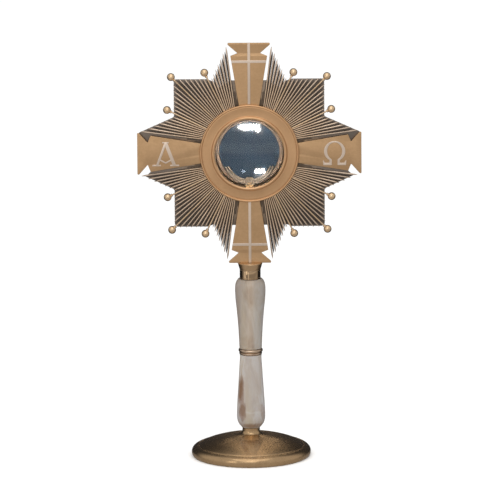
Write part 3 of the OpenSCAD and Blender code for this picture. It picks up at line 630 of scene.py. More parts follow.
def plate(name, outline, holes, d0, d1, bevel, res=3, hz=HZ):
    """Flat plate with rounded edges, its outline in face coordinates, from depth d0 to d1."""
    cu = bpy.data.curves.new(name + "_outline", "CURVE")
    cu.dimensions = "2D"
    cu.fill_mode = "BOTH"
    cu.resolution_u = 1
    for poly in [outline] + list(holes):
        sp = cu.splines.new("POLY")
        sp.points.add(len(poly) - 1)
        for q, p in zip(sp.points, poly):
            q.co = (p[0] * MM, p[1] * MM, 0, 1)
        sp.use_cyclic_u = True
    th = (d1 - d0) * MM
    cu.bevel_depth = bevel * MM
    cu.bevel_resolution = res
    cu.extrude = th / 2 - bevel * MM
    cu.offset = -bevel * MM
    ob = bpy.data.objects.new(name + "_tmp", cu)
    coll.objects.link(ob)
    bpy.context.view_layer.update()
    dg = bpy.context.evaluated_depsgraph_get()
    me = bpy.data.meshes.new_from_object(ob.evaluated_get(dg))
    bpy.data.objects.remove(ob)
    bpy.data.curves.remove(cu)
    me.name = name
    mid = (d0 + d1) / 2
    for v in me.vertices:
        x, y, z = v.co
        v.co = Vector((x, -mid * MM - z, hz * MM + y))
    return me


def join_meshes(name, meshes):
    bm = bmesh.new()
    for me in meshes:
        bm.from_mesh(me)
        bpy.data.meshes.remove(me)
    out = bpy.data.meshes.new(name)
    bm.to_mesh(out)
    bm.free()
    return out


def rot2(P, deg):
    c, s = math.cos(math.radians(deg)), math.sin(math.radians(deg))
    return [(p[0] * c - p[1] * s, p[0] * s + p[1] * c) for p in P]


def pol(r, a):
    return (r * math.cos(math.radians(a)), r * math.sin(math.radians(a)))


def dress(node, mat, bevel=0.18, segs=2, angle=38.0):
    """Gives a kept CAD node its material, and eased edges by modifiers only."""
    o = NODES[node]
    for s in o.material_slots:
        s.material = mat
    w = o.modifiers.new("weld", "WELD")
    w.merge_threshold = 2e-6
    b = o.modifiers.new("eased_edges", "BEVEL")
    b.width = bevel * MM
    b.segments = segs
    b.limit_method = "ANGLE"
    b.angle_limit = math.radians(angle)
    b.use_clamp_overlap = True
    b.harden_normals = False
    n = o.modifiers.new("weighted", "WEIGHTED_NORMAL")
    n.keep_sharp = False
    n.weight = 60
    return o


# ------------------------------------------------------------------ foot ----
Z_NECK, FOOT_R, WALL = 36.4, 75.9, 1.6
FOOT_OUT = [(74.3, 0.3), (75.5, 2.5), (75.9, 5.5), (75.2, 8.3), (73.1, 10.9), (69.8, 12.7),
            (66.6, 13.6), (63.5, 15.1), (58, 17.4), (50, 20.2), (40, 22.9), (30, 25),
            (20, 26.6), (14.5, 28), (12, 29.8), (11.15, 32.6), (11.05, Z_NECK)]
FOOT_IN = [(9.4, Z_NECK - WALL), (9.5, 31), (11, 27.8), (14, 26.2), (20, 25), (30, 23.3),
           (40, 21.2), (50, 18.5), (58, 15.7), (63, 13.4), (66.4, 11.9), (69.4, 10.9),
           (72.2, 9.2), (73.7, 7.4), (FOOT_R - WALL, 5.4), (FOOT_R - WALL - 0.5, 2.8),
           (FOOT_R - WALL - 1.6, 0.3)]


def crease(P):
    """Sharpens the spun step between lip and dome with a fine groove at its bottom."""
    out = []
    for r, z in P:
        g = math.exp(-((r - 66.7) / 0.55) ** 2) * 0.42 if z > 9 else 0.0
        out.append((r, z - g))
    return out


def foot_warp(r, h, t):
    c, s = math.cos(t), math.sin(t)
    p = Vector((r * c, r * s, h * 2.0))
    n = noise.noise(p * 0.045 + Vector((3.1, 7.7, 1.2)))
    n2 = noise.noise(p * 0.11 + Vector((9.1, 2.7, 4.2)))
    f = min(1.0, max(0.0, (r - 13) / 8)) * min(1.0, max(0.0, (75.0 - r) / 3.0))
    return (0.0, (n * 0.20 + n2 * 0.06) * f)


outer = crease(curve(FOOT_OUT, 10))
outer = [(74.1, 0.55), (74.15, 0.35)] + outer[1:-1] + [(11.05, Z_NECK - 0.25), (10.8, Z_NECK)]
prof = outer + [(4.8, Z_NECK), (4.6, Z_NECK - 0.2), (4.6, Z_NECK - WALL)] + curve(FOOT_IN, 4)
NODE_FOOT = piece("foot_spun_shell", lathe("foot_spun_shell", prof, 240, warp=foot_warp),
      "stand", "polished_brass", "foot_shell", mat=M_FOOT, sharp=50)


def felt_warp(r, h, t):
    c, s = math.cos(t), math.sin(t)
    n = noise.noise(Vector((r * c * 0.9, r * s * 0.9, h * 3)))
    if h < 0.2 or h > 1.25:
        return (n * 0.08, 0.0)
    return (n * 0.12, 0.0)


prof = fillet([(12.2, 0.0, 0.3), (71.85, 0.0, 0.55), (71.85, 1.4, 0.25), (12.2, 1.4, 0.2)], 4)
piece("felt_base_pad", lathe("felt_base_pad", prof, 200, warp=felt_warp), "stand", "felt",
      "felt_pad", mat=M_FELT, sharp=60)
dress("ballast_plate", M_IRON, 0.5, 3)
dress("foot_washer", M_STEEL, 0.15)
dress("foot_nut", M_STEEL, 0.25)
dress("tie_rod", M_STEEL, 0.15)

# ------------------------------------------------------------------ stem ----
gas = []
for z, r in ((36.4, 10.6), (131.6, 13.2), (139.4, 13.2), (230.1, 12.4)):
    gas.append(lathe("g", fillet([(4.7, z, 0.1), (r, z, 0.19), (r, z + 0.4, 0.19), (4.7, z + 0.4, 0.1)], 3), 96))
piece("stem_leather_washers", join_meshes("stem_leather_washers", gas), "stand", "leather",
      "stem_gaskets", mat=M_LEATHER)

LOW = [(11.9, 36.8), (13.2, 38.3), (15.1, 40.7), (16.8, 43.9), (17.7, 47.6), (18, 52), (17.8, 60),
       (17.4, 70), (16.6, 83), (15.6, 98), (14.7, 113), (14, 123), (13.7, 128), (14, 131.6)]
UP = [(14.2, 139.8), (14.5, 146), (14.9, 156), (15.6, 168), (16.5, 180), (17.6, 192), (18.8, 203),
      (19.3, 211), (19.4, 217), (19, 222), (17.9, 226), (15.9, 229.2), (14.6, 230.1)]


def stone_warp(r, h, t):
    if r < 8:
        return (0.0, 0.0)
    n = noise.noise(Vector((math.cos(t) * 1.3, math.sin(t) * 1.3, h * 0.03)))
    return (n * 0.05, 0.0)


def stone(name, P, node, mat):
    c = curve(P, 8)
    a, b = c[0], c[-1]
    p = [(a[0] - 0.35, a[1]), (a[0] - 0.1, a[1] + 0.06)] + c[1:-1] + [(b[0] - 0.1, b[1] - 0.06), (b[0] - 0.35, b[1])]
    p += [(4.6, b[1]), (4.6, a[1])]
    piece(name, lathe(name, p, 160, warp=stone_warp), "stand", "onyx", node, mat=mat, sharp=50)


stone("onyx_lower_baluster", LOW, "lower_stem", M_ONYX_LO)
stone("onyx_upper_baluster", UP, "upper_stem", M_ONYX_UP)

# knop ring: two beads with a cove between, and fine steps at both ends
z0, z1 = 132.0, 139.4
prof = [(4.6, z0), (13.0, z0)] + arc(13.3, z0 + 1.3, 1.3, -80, 62, 10) + [(13.75, 134.6)] \
    + arc(13.2, z1 - 2.3, 2.3, -62, 84, 14) + [(13.1, z1), (4.6, z1)]
piece("knop_ring_turned", lathe("knop_ring_turned", prof, 144), "stand", "polished_brass",
      "middle_ring", mat=M_KNOP, sharp=40)

prof = fillet([(10.05, 230.5), (13.3, 230.5, 0.35), (13.3, 232.1, 0.1), (13.12, 232.25, 0.08),
               (13.12, 232.5, 0.08), (13.3, 232.65, 0.1), (13.3, 242.2, 0.35), (10.05, 242.2)], 3)
NODE_COLLAR = piece("head_collar_sleeve", lathe("head_collar_sleeve", prof, 144), "stand", "polished_brass",
      "top_collar", mat=M_COLLAR, sharp=40)
dress("head_saddle", M_SATIN_Z, 0.2)
dress("saddle_screws", M_STEEL, 0.12)

# ------------------------------------------------------------- cross arms ----
AW0, AW1, REACH, RIN = 12.9, 26.9, 142.0, 47.3


def arm_outline():
    half = [(AW0, 62, 1.0), (23.3, 125.2, 0.5), (14.3, 128.8, 0.45), (AW1 - 0.5, REACH - 2.6, 0.5),
            (AW1, REACH - 1.6, 0.4), (AW1 - 0.6, REACH, 0.5)]
    a0 = math.degrees(math.asin(AW0 / RIN))
    inner = [(RIN * math.sin(math.radians(a)), RIN * math.cos(math.radians(a)))
             for a in [-a0 + 2 * a0 * k / 10 for k in range(11)]]
    right = fillet([(AW0, 50.0)] + half + [(0, REACH)], 3, closed=False)[1:-1]
    left = [(-x, y) for x, y in reversed(right)]
    return inner + right + left


def circle(cx, cy, r, n=24):
    return [(cx + r * math.cos(2 * math.pi * k / n), cy + r * math.sin(2 * math.pi * k / n)) for k in range(n)]


ARM = arm_outline()
for nm, node, rot in (("top", "arm_top", 0), ("left", "arm_left", 90), ("right", "arm_right", -90),
                      ("bottom", "arm_bottom", 180)):
    out = rot2(ARM, rot)
    holes = [rot2(circle(0, 56, 1.6), rot)]
    if nm == "bottom":
        # tongue into the saddle
        flat = [q for q in range(len(out)) if abs(out[q][1] + REACH) < 0.02]
        lo = min(flat, key=lambda q: out[q][0])
        hi = max(flat, key=lambda q: out[q][0])
        tongue = [(-8, -REACH), (-8, -REACH - 7.5), (8, -REACH - 7.5), (8, -REACH)]
        if hi == (lo + 1) % len(out):
            out = out[:lo + 1] + tongue + out[lo + 1:]
        else:
            out = out[:hi + 1] + tongue[::-1] + out[hi + 1:]
        holes += [circle(x, 246.6 - HZ, 1.6) for x in (-6, 6)]
    piece("arm_plate_" + nm, plate("arm_plate_" + nm, out, holes, 2.0, 4.0, 0.28), "stand",
          "gilt_satin", node, mat=M_SATIN, sharp=30)

# ---------------------------------------------------------------- silver ----
LW = 3.4


def cross_lines():
    h = LW / 2
    r = 63.0
    y0 = math.sqrt(r * r - h * h)
    return fillet([(-h, y0), (h, y0), (h, 118 - h, 0.15), (22, 118 - h, 0.3), (22, 118 + h, 0.3),
                   (h, 118 + h, 0.15), (h, REACH - 0.4, 0.3), (-h, REACH - 0.4, 0.3), (-h, 118 + h, 0.15),
                   (-22, 118 + h, 0.3), (-22, 118 - h, 0.3), (-h, 118 - h, 0.15)], 2)


for nm, node, rot in (("top", "inlay_cross_top", 0), ("bottom", "inlay_cross_bottom", 180)):
    piece("silver_cross_" + nm, plate("silver_cross_" + nm, rot2(cross_lines(), rot), [], 4.0, 4.6, 0.2),
          "stand", "silver", node, mat=M_SILVER, sharp=30)


def clip(poly, f):
    """Keeps the part of a polygon where f(point) >= 0, f being linear."""
    out = []
    for i, p in enumerate(poly):
        q = poly[(i + 1) % len(poly)]
        a, b = f(p), f(q)
        if a >= 0:
            out.append(p)
        if (a >= 0) != (b >= 0):
            t = a / (a - b)
            out.append((p[0] + (q[0] - p[0]) * t, p[1] + (q[1] - p[1]) * t))
    return out


def stroke(a, b, w, y0=-15.4, y1=15.4):
    ax, ay = a
    bx, by = b
    l = math.hypot(bx - ax, by - ay)
    nx, ny = -(by - ay) / l * w / 2, (bx - ax) / l * w / 2
    P = [(ax - nx, ay - ny), (bx - nx, by - ny), (bx + nx, by + ny), (ax + nx, ay + ny)]
    return clip(clip(P, lambda p: p[1] - y0), lambda p: y1 - p[1])


def box2(x, y, w, h):
    return [(x, y), (x + w, y), (x + w, y + h), (x, y + h)]


parts = [stroke((-11.4, -16.2), (0.3, 15.6), 3.0), stroke((11.6, -16.2), (-0.5, 15.6), 4.3),
         box2(-17, -15.6, 11, 1.9), box2(5.6, -15.6, 11.4, 1.9), box2(-4.4, 13.9, 8.4, 1.7),
         stroke((-9.4, -6.2), (0.25, -11.55), 1.9), stroke((-0.25, -11.55), (9.6, -6.2), 1.9)]
letter = []
for i, P in enumerate(parts):
    P = [(x - 106, y - 0.4) for x, y in P]
    letter.append(plate("s%d" % i, P, [], 4.0, 4.6 - 0.012 * i, 0.14, res=2))
piece("letter_alpha_silver", join_meshes("letter_alpha_silver", letter), "stand", "silver",
      "letter_alpha", mat=M_SILVER, sharp=30)

OM = [(6.6, -9.2), (6.6, -12.4, 0.6), (12.2, -12.4, 0.8), (13.9, -9.6, 0.2), (14.9, -9.6, 0.2),
      (14.4, -15.6, 0.4), (3.6, -15.6, 0.4), (3.6, -8.4)]
n = 72
om = [(13.5 * math.cos(t), 2.4 + 13.2 * math.sin(t)) for t in
      [math.radians(-60.7 + 301.4 * k / n) for k in range(n + 1)]]
om += [(-p[0], *p[1:]) for p in OM]
om += [(9.4 * math.cos(t), 2.4 + 11.3 * math.sin(t)) for t in
       [math.radians(242.1 - 304.2 * k / n) for k in range(n + 1)]]
om += list(reversed(OM))
om = [(p[0] + 108, p[1] - 0.4, *p[2:]) for p in om]
piece("letter_omega_silver", plate("letter_omega_silver", fillet(om, 3), [], 4.0, 4.6, 0.16),
      "stand", "silver", "letter_omega", mat=M_SILVER, sharp=30)

# ------------------------------------------------------------------ rays ----
NRAY = 29
TIP0, ROOT0 = 11.9, 17.9


def tip_a(i):
    return TIP0 + (90 - 2 * TIP0) * i / (NRAY - 1)


def root_a(i):
    return ROOT0 + (90 - 2 * ROOT0) * i / (NRAY - 1)


def reach(a):
    a = a if a <= 45 else 90 - a
    if a < 26.4:
        (x0, y0), (x1, y1) = (137, 28.9), (98.3, 46.4)
        dx, dy = x1 - x0, y1 - y0
        return (dx * y0 - dy * x0) / (dx * math.sin(math.radians(a)) - dy * math.cos(math.radians(a)))
    return 96 / math.cos(math.radians(a))


def rod(bm, p, q, w0, w1, db, thick, seed, point=7.0):
    """Half-round tapered bar on the plane at depth db, flat behind, pointed at its end."""
    p, q = Vector(p), Vector(q)
    ax = (q - p).normalized()
    sd = Vector((-ax.y, ax.x))
    L = (q - p).length
    jw = 1.0 + 0.05 * noise.noise(Vector((seed * 1.7, 0.3, 0.9)))
    st = [0.0, 0.25 * L, 0.5 * L, 0.75 * L, L - point, L - point * 0.62, L - point * 0.3,
          L - 1.0, L - 0.45, L - 0.3]
    rings = []
    for s in st:
        f = min(1.0, s / (L - point))
        w = (w0 + (w1 - w0) * f) * jw
        e = max(0.0, (s - (L - point)) / (point - 0.3))
        w *= 1 - 0.84 * e ** 1.6
        h = thick * (1 - 0.45 * e ** 2)
        wob = 0.10 * noise.noise(Vector((seed * 3.1, s * 0.03, 0.2))) * min(1.0, s / 30)
        ring = []
        for k in range(9):
            a = math.radians(-22 + 224 * k / 8)
            ca, sa = math.cos(a), math.sin(a)
            x = math.copysign(abs(ca) ** 0.72, ca) * w / 2
            z = 0.28 * thick + 0.72 * h * sa ** 0.65 if sa > 0 else 0.28 * thick + 0.28 * thick * sa / math.sin(math.radians(22))
            z = min(z, thick)
            c = p + ax * s + sd * (x * (0.94 if k in (0, 8) else 1.0) + wob)
            ring.append(bm.verts.new(face_pt(c.x, c.y, db + z)))
        rings.append(ring)
    for a, b in zip(rings, rings[1:]):
        for k in range(9):
            k2 = (k + 1) % 9
            bm.faces.new((a[k], a[k2], b[k2], b[k]))
    bm.faces.new(rings[0])
    bm.faces.new(list(reversed(rings[-1])))


def sector(name, d0, rot):
    a0 = math.degrees(math.asin((AW0 + 0.3) / 60.4))
    b0 = math.degrees(math.asin((AW0 + 0.3) / RIN))
    P = [pol(60.4, a0 + (90 - 2 * a0) * k / 24) for k in range(25)]
    P += [pol(RIN, (90 - b0) - (90 - 2 * b0) * k / 24) for k in range(25)]
    holes = [circle(*pol(56, a), 1.6) for a in (22.5, 67.5)]
    return plate(name, rot2(P, rot), [rot2(h, rot) for h in holes], d0, d0 + 2, 0.2, res=2)


def web(name, upright, filled, rot):
    """Thin sheet behind the rear rays; it stops short by the upright arm. It takes the rear rays' darkened brass, so
    it shows as painted shade in the gaps.
    """
    P = [(128.6, 12.6), (140.4, 25.8), (138.4, 27.6), (133, 29.8)] if filled else [(121, 20), (131.6, 29.9)]
    P += [(97, 45.9), (95.2, 47.6), (95.2, 92), (92, 95.2), (53.2, 95.2), (45.2, 92), (37.4, 84),
          (23.2, 93.4), (13.4, 93.4)]
    P += [pol(59, 80 - 70 * k / 12) for k in range(13)]
    if upright:
        P = [(y, x) for x, y in reversed(P)]
    return plate(name, rot2(P, rot), [], 0.0, 0.8, 0.12, res=2)


SLOTS = (7, 14, 21)
for qi, (nm, rot) in enumerate((("upper_right", 0), ("upper_left", 90), ("lower_left", 180), ("lower_right", 270))):
    bm = bmesh.new()
    for i in range(NRAY):
        if i in SLOTS:
            continue
        p, q = rot2([pol(59.4, root_a(i)), pol(reach(tip_a(i)), tip_a(i))], rot)
        rod(bm, p, q, 1.3, 2.1, 2.0, 2.0, i + 31 * qi)
    me = bpy.data.meshes.new("rods")
    bm.to_mesh(me)
    bm.free()
    piece("ray_fan_" + nm, join_meshes("ray_fan_" + nm, [me, sector("sec", 2.0, rot)]), "stand",
          "ray_brass", "fan_" + nm, mat=M_RAY, sharp=38)
    bm = bmesh.new()
    for i in range(NRAY - 1):
        a = tip_a(i + 0.5)
        p, q = rot2([pol(59.4, root_a(i + 0.5)), pol(reach(a) - 2.4, a)], rot)
        rod(bm, p, q, 1.4, 2.1, 0.0, 2.0, i + 31 * qi + 400)
    # low ribs on the web close beside the arms
    for k, (i, l) in enumerate(((-0.6, 97), (-1.5, 82), (-2.4, 72))):
        for a0, a1 in ((root_a(i), tip_a(i)), (90 - root_a(i), 90 - tip_a(i))):
            p, q = rot2([pol(59.4, a0), pol(l, a0 + (a1 - a0) * (l - 59.4) / 70)], rot)
            rod(bm, p, q, 1.3, 1.5, 0.0, 1.95, k + 31 * qi + 900, 3.0)
    me = bpy.data.meshes.new("rods")
    bm.to_mesh(me)
    bm.free()
    piece("rear_ray_fan_" + nm, join_meshes("rear_ray_fan_" + nm, [
        me, sector("sec", 0.0, rot), web("web", qi in (1, 3), qi in (0, 1), rot)]),
          "stand", "aged_brass", "rear_fan_" + nm, mat=M_REAR, sharp=38)


def along(me, p, q, d):
    """Moves a lathe made about +Z at the origin so that it runs from p towards q at depth d."""
    a = face_pt(p[0], p[1], d)
    b = face_pt(q[0], q[1], d)
    m = Matrix.Translation(a) @ (b - a).to_track_quat("Z", "Y").to_matrix().to_4x4()
    me.transform(m)
    return me


rods, balls = [], []
for rot in (0, 90, 180, 270):
    for k in (1, 2, 3):
        p = pol(52, root_a(SLOTS[k - 1]))
        q = pol(139.5 if k == 2 else 118.2, tip_a(SLOTS[k - 1]))
        p, q = rot2([p, q], rot)
        L = math.dist(p, q)
        pr = fillet([(0, 0), (0.95, 0, 0.2), (1.0, 4), (1.0, L - 8), (0.98, L - 3), (0.98, L - 2, 0.2), (0, L - 2)], 3)
        rods.append(along(lathe("r", pr, 20), p, q, 3.0))
        b = [(0, L - 1.7), (1.03, L - 1.7), (1.03, L - 6.5), (1.5, L - 6.6), (2.0, L - 6.45), (2.1, L - 6.1),
             (2.0, L - 5.75), (1.72, L - 5.5), (1.66, L - 5.1)]
        b += [(5 * math.sin(math.radians(a)), L - 5 * math.cos(math.radians(a))) for a in range(22, 180, 6)] + [(0, L + 5)]
        balls.append(along(lathe("b", b, 48), p, q, 3.0))
piece("ball_ray_rods", join_meshes("ball_ray_rods", rods), "stand", "ray_brass", "ball_rays", mat=M_BALLRAY)
piece("ball_ray_finials", join_meshes("ball_ray_finials", balls), "stand", "polished_brass",
      "ball_finials", mat=M_BALL, sharp=45)

# ------------------------------------------------------------------ case ----
WIN, RING, BR_R, BACK = 43.6, 62.8, 46.9, 10.0
# flat ring, slightly dished between an inner roll and an outer bead
prof = [(WIN, 4.0), (WIN, 6.0)] + arc(WIN + 2.2, 6.4, 2.2, 188, 8, 18) + [(48.02, 6.2), (48.2, 5.98), (48.6, 5.86)]
prof += [(49 + 9.6 * k / 10, 5.84 - 0.10 * math.sin(math.pi * k / 10)) for k in range(11)]
prof += [(59.3, 5.86), (59.85, 5.72), (60.15, 5.9)] + arc(61.5, 6.2, 1.3, 168, -8, 14) + [(62.8, 5.4), (62.75, 4.2), (62.55, 4.0)]
piece("window_ring_turned", lathe("window_ring_turned", prof, 200, "Y"), "stand", "gilt_satin",
      "bezel_ring", mat=M_RING, sharp=40)

prof = fillet([(WIN, -BACK, 0.3), (BR_R, -BACK, 0.4), (BR_R, -7.6, 0.15), (46.6, -7.3, 0.12), (46.6, -6.7, 0.12),
               (BR_R, -6.4, 0.15), (BR_R, -2, 0.6), (61.4, -2, 0.35), (62, -1.5, 0.3), (62, 0, 0.2),
               (BR_R, 0), (BR_R, 4.0), (WIN + 2, 4.0), (WIN + 2, 1.6), (WIN, 1.6, 0.15)], 3)
piece("case_barrel_spun", lathe("case_barrel_spun", prof, 200, "Y"), "stand", "case_brass",
      "case_barrel", mat=M_CASE, sharp=38)

prof = [(WIN + 1.15 + 0.72 * math.cos(2 * math.pi * k / 12), 1.86 + 0.24 * math.sin(2 * math.pi * k / 12)) for k in range(12)]
piece("glass_seal_ring", lathe("glass_seal_ring", prof, 120, "Y"), "stand", "gasket_rubber",
      "glass_gasket", mat=M_RUBBER, sharp=80)

GR, RISE = WIN - 0.2, 6.0
DOME = (GR * GR + RISE * RISE) / (2 * RISE)


def dome(r, t):
    return math.sqrt((DOME - t) ** 2 - r * r) - (DOME - RISE)


m = 28
prof = [(GR * k / m, 4.0 + dome(GR * k / m, 0)) for k in range(m + 1)]
prof += [(WIN + 1.75, 4.0), (WIN + 1.8, 3.9), (WIN + 1.8, 2.3), (WIN + 1.7, 2.2)]
prof += [((GR - 0.4) * k / m, 4.0 + dome((GR - 0.4) * k / m, 1.8)) for k in range(m, -1, -1)]
g = piece("domed_window_glass", lathe("domed_window_glass", prof, 160, "Y"), "stand", "clear_glass",
          "front_glass", mat=M_GLASS, sharp=10)
g.visible_shadow = False
NODE_GLASS = g
g.visible_shadow = False            # clear glass lets the lamps through

dress("head_screws", M_STEEL, 0.15)
dress("hinge_bracket", M_HW, 0.3, 3)
dress("hinge_pin", M_STEEL, 0.15)
dress("button_post", M_HW, 0.2)
dress("button_screw", M_STEEL, 0.15)
dress("turn_button", M_HW, 0.22, 3)

# ------------------------------------------------------------- back door ----
DY, DT = 10.3, 2.0
dish = [(0, -DY - 1.5), (20, -DY - 1.5), (33.2, -DY - 1.5, 0.2), (34.4, -DY - 2.0, 0.25), (38.2, -DY - 2.0, 0.05),
        (38.5, -DY - 1.86, 0.1), (38.8, -DY - 2.0, 0.05), (45.9, -DY - 2.0, 0.5), (47, -DY - 1.2, 0.4), (47, -DY, 0.15), (0, -DY)]
door = [lathe("d", fillet(dish, 4), 200, "Y")]
# strap to the knuckle, and the knuckle's tube
hx, hy = 51.5, 11.3
bm = bmesh.new()
bmesh.ops.create_cube(bm, size=1.0)
for v in bm.verts:
    v.co = Vector(((44 + hx) / 2 + v.co.x * (hx - 44), DY + DT / 2 + v.co.y * DT, HZ + v.co.z * 8)) * MM
bmesh.ops.bevel(bm, geom=list(bm.edges), offset=0.25 * MM, segments=2, affect="EDGES")
strap = bpy.data.meshes.new("strap")
bm.to_mesh(strap)
bm.free()
door.append(strap)
kn = lathe("k", fillet([(1.3, -4, 0.1), (2.8, -4, 0.3), (2.8, 4, 0.3), (1.3, 4, 0.1)], 3), 48)
kn.transform(Matrix.Translation(Vector((hx, hy, HZ)) * MM))
door.append(kn)
piece("door_dished_plate", join_meshes("door_dished_plate", door), "back_door", "case_brass",
      "door_plate", mat=M_CASE, sharp=38)

prof = fillet([(0, -DY + 0.8), (37.9, -DY + 0.8, 0.2), (37.9, -DY, 0.1), (0, -DY)], 3)
piece("door_enamel_panel", lathe("door_enamel_panel", prof, 160, "Y"), "back_door", "slate_enamel",
      "door_lining", mat=M_ENAMEL, sharp=38)
prof = fillet([(38.0, -DY, 0.1), (43.0, -DY, 0.1), (43.0, -DY + 2.6, 0.3), (42.6, -DY + 3, 0.3),
               (40.9, -DY + 3.0, 0.1), (40.6, -DY + 2.8, 0.1), (40.3, -DY + 3.0, 0.1), (38.6, -DY + 3, 0.3), (38.0, -DY + 2.2, 0.3)], 3)
piece("door_inner_rim", lathe("door_inner_rim", prof, 160, "Y"), "back_door", "case_brass",
      "lining_ring", mat=M_INNER, sharp=38)
dress("lining_screws", M_STEEL, 0.12)
kp = [(3.2, 0), (2.9, 0.8), (1.9, 1.8), (2, 3.2), (4.1, 5), (4.6, 6.4), (4, 8), (2, 8.9), (0, 9.1)]
kc = curve(kp, 6)
kprof = [(0, 0)] + kc[:-1] + [(0, 9.1)]
kprof = [(max(0.0, r), -(DY + DT - 0.5) - z) for r, z in kprof]
knob = lathe("kn", kprof, 72, "Y", centre=(-29.0, HZ))
spig = lathe("sp", fillet([(0, -(DY + 0.8)), (1.5, -(DY + 0.8), 0.15), (1.5, -(DY + DT - 0.4)), (0, -(DY + DT - 0.4))], 2), 32, "Y", centre=(-29.0, HZ))
piece("door_knob_turned", join_meshes("door_knob_turned", [knob, spig]), "back_door", "polished_brass",
      "door_knob", mat=M_KNOB, sharp=60)

# --------------------------------------------------------------- lunette ----
dress("lunette_track", M_HW, 0.15)
dress("track_screw", M_STEEL, 0.1)
dress("lunette_front", M_LUNE, 0.3, 3)
dress("lunette_clip", M_LUNE, 0.2, 2)
dress("lunette_pin", M_STEEL, 0.1)

# ----------------------------------------------------------------- stage ----
FLOOR_FRONT, FLOOR_BACK = (0.546, 0.505, 0.457), (0.032, 0.032, 0.034)
WORLD_FRONT, WORLD_BACK = (0.626, 0.595, 0.551), (0.040, 0.040, 0.042)
fl = bpy.data.meshes.new("studio_floor")
bm = bmesh.new()
S = 14.0
vs = [bm.verts.new((x, y, 0.0)) for x, y in ((-S, -S), (S, -S), (S, S), (-S, S))]
bm.faces.new(vs)
bm.to_mesh(fl)
bm.free()
fm = Mat("pale_floor")
lpf = fm.node("ShaderNodeLightPath")
gl = fm.math("MULTIPLY", fm.math("MINIMUM", lpf.outputs["Glossy Depth"], 1.0),
             fm.math("SUBTRACT", 1.0, lpf.outputs["Is Diffuse Ray"]))
fn = fm.noise(3.0, 2.0, 0.5)
fm.link(fm.mix(fn, (0.94, 0.94, 0.94), (0.96, 0.96, 0.96)), fm.b.inputs["Base Color"])
fm.b.inputs["Roughness"].default_value = 0.9
fm.b.inputs["Specular IOR Level"].default_value = 0.0
sp = fm.node("ShaderNodeSeparateXYZ")
fm.link(fm.co, sp.inputs[0])
back = fm.ramp(fm.math("ADD", fm.math("MULTIPLY", sp.outputs[1], 0.5), 0.5), (0.46, 1.0), (0.53, 0.0))
far = fm.ramp(fm.math("ADD", fm.math("MULTIPLY", sp.outputs[1], 0.25), 1.0),
              (0.0, 1.0), (0.42, 0.92), (0.60, 0.56), (0.86, 0.56), (0.93, 0.68))
glow = fm.node("ShaderNodeEmission")
fm.link(fm.mix(back, FLOOR_BACK, FLOOR_FRONT), glow.inputs[0])
fm.link(fm.math("MULTIPLY", fm.math("ADD", fm.math("MULTIPLY", back, fm.math("SUBTRACT", far, 0.68)), 0.68), 1.47),
        glow.inputs[1])
fmx = fm.node("ShaderNodeMixShader")
fm.link(gl, fmx.inputs[0])
fm.link(fm.b.outputs[0], fmx.inputs[1])
fm.link(glow.outputs[0], fmx.inputs[2])
fm.link(fmx.outputs[0], fm.out.inputs["Surface"])
fl.materials.append(fm.m)
floor = bpy.data.objects.new("studio_floor", fl)
coll.objects.link(floor)

world = bpy.data.worlds.new("studio_world")
scene.world = world
world.cycles.sampling_method = "NONE"
world.use_nodes = True
wt = world.node_tree
wt.nodes.clear()
wo = wt.nodes.new("ShaderNodeOutputWorld")
lp = wt.nodes.new("ShaderNodeLightPath")
tcw = wt.nodes.new("ShaderNodeTexCoord")
spw = wt.nodes.new("ShaderNodeSeparateXYZ")
wt.links.new(tcw.outputs["Generated"], spw.inputs[0])
rw = wt.nodes.new("ShaderNodeMapRange")
rw.interpolation_type = "SMOOTHSTEP"
wt.links.new(spw.outputs[1], rw.inputs[0])
for i, v in enumerate((0.20, 0.72, 1.0, 0.0)):
    rw.inputs[i + 1].default_value = v
mc = wt.nodes.new("ShaderNodeMix")
mc.data_type = "RGBA"
wt.links.new(rw.outputs[0], mc.inputs[0])
mc.inputs[6].default_value = (*WORLD_BACK, 1)
mc.inputs[7].default_value = (*WORLD_FRONT, 1)
bgs = []
for col, st in (((1.0, 1.0, 1.0), 1.08), (None, 1.0)):
    b = wt.nodes.new("ShaderNodeBackground")
    if col is None:
        wt.links.new(mc.outputs[2], b.inputs[0])
    else:
        b.inputs[0].default_value = (*col, 1)
    b.inputs[1].default_value = st
    bgs.append(b)
mx = wt.nodes.new("ShaderNodeMixShader")
ma = wt.nodes.new("ShaderNodeMath")
ma.operation = "MINIMUM"
wt.links.new(lp.outputs["Glossy Depth"], ma.inputs[0])
ma.inputs[1].default_value = 1.0
mb = wt.nodes.new("ShaderNodeMath")
mb.operation = "SUBTRACT"
mb.use_clamp = True
wt.links.new(ma.outputs[0], mb.inputs[0])
wt.links.new(lp.outputs["Is Diffuse Ray"], mb.inputs[1])
wt.links.new(mb.outputs[0], mx.inputs[0])
wt.links.new(bgs[0].outputs[0], mx.inputs[1])
wt.links.new(bgs[1].outputs[0], mx.inputs[2])
wt.links.new(mx.outputs[0], wo.inputs[0])


def softbox(name, loc, at, w, h, lum, colour=(1.0, 1.0, 1.0), shape="RECTANGLE"):
    L = bpy.data.lights.new(name, "AREA")
    L.shape = shape
    L.size, L.size_y = w, h
    L.energy = lum * math.pi * w * h
    L.color = colour
    o = bpy.data.objects.new(name, L)
    coll.objects.link(o)
    o.location = loc
    o.rotation_mode = "QUATERNION"
    o.rotation_quaternion = (Vector(at) - Vector(loc)).to_track_quat("-Z", "Y")
    o.visible_camera = False
    o.visible_transmission = False
    return o


def aim(az, el, dist, at):
    """A place at azimuth az from the front (positive to +X) and elevation el, seen from a point."""
    a, e = math.radians(az), math.radians(el)
    return Vector(at) + Vector((math.sin(a) * math.cos(e), -math.cos(a) * math.cos(e), math.sin(e))) * dist


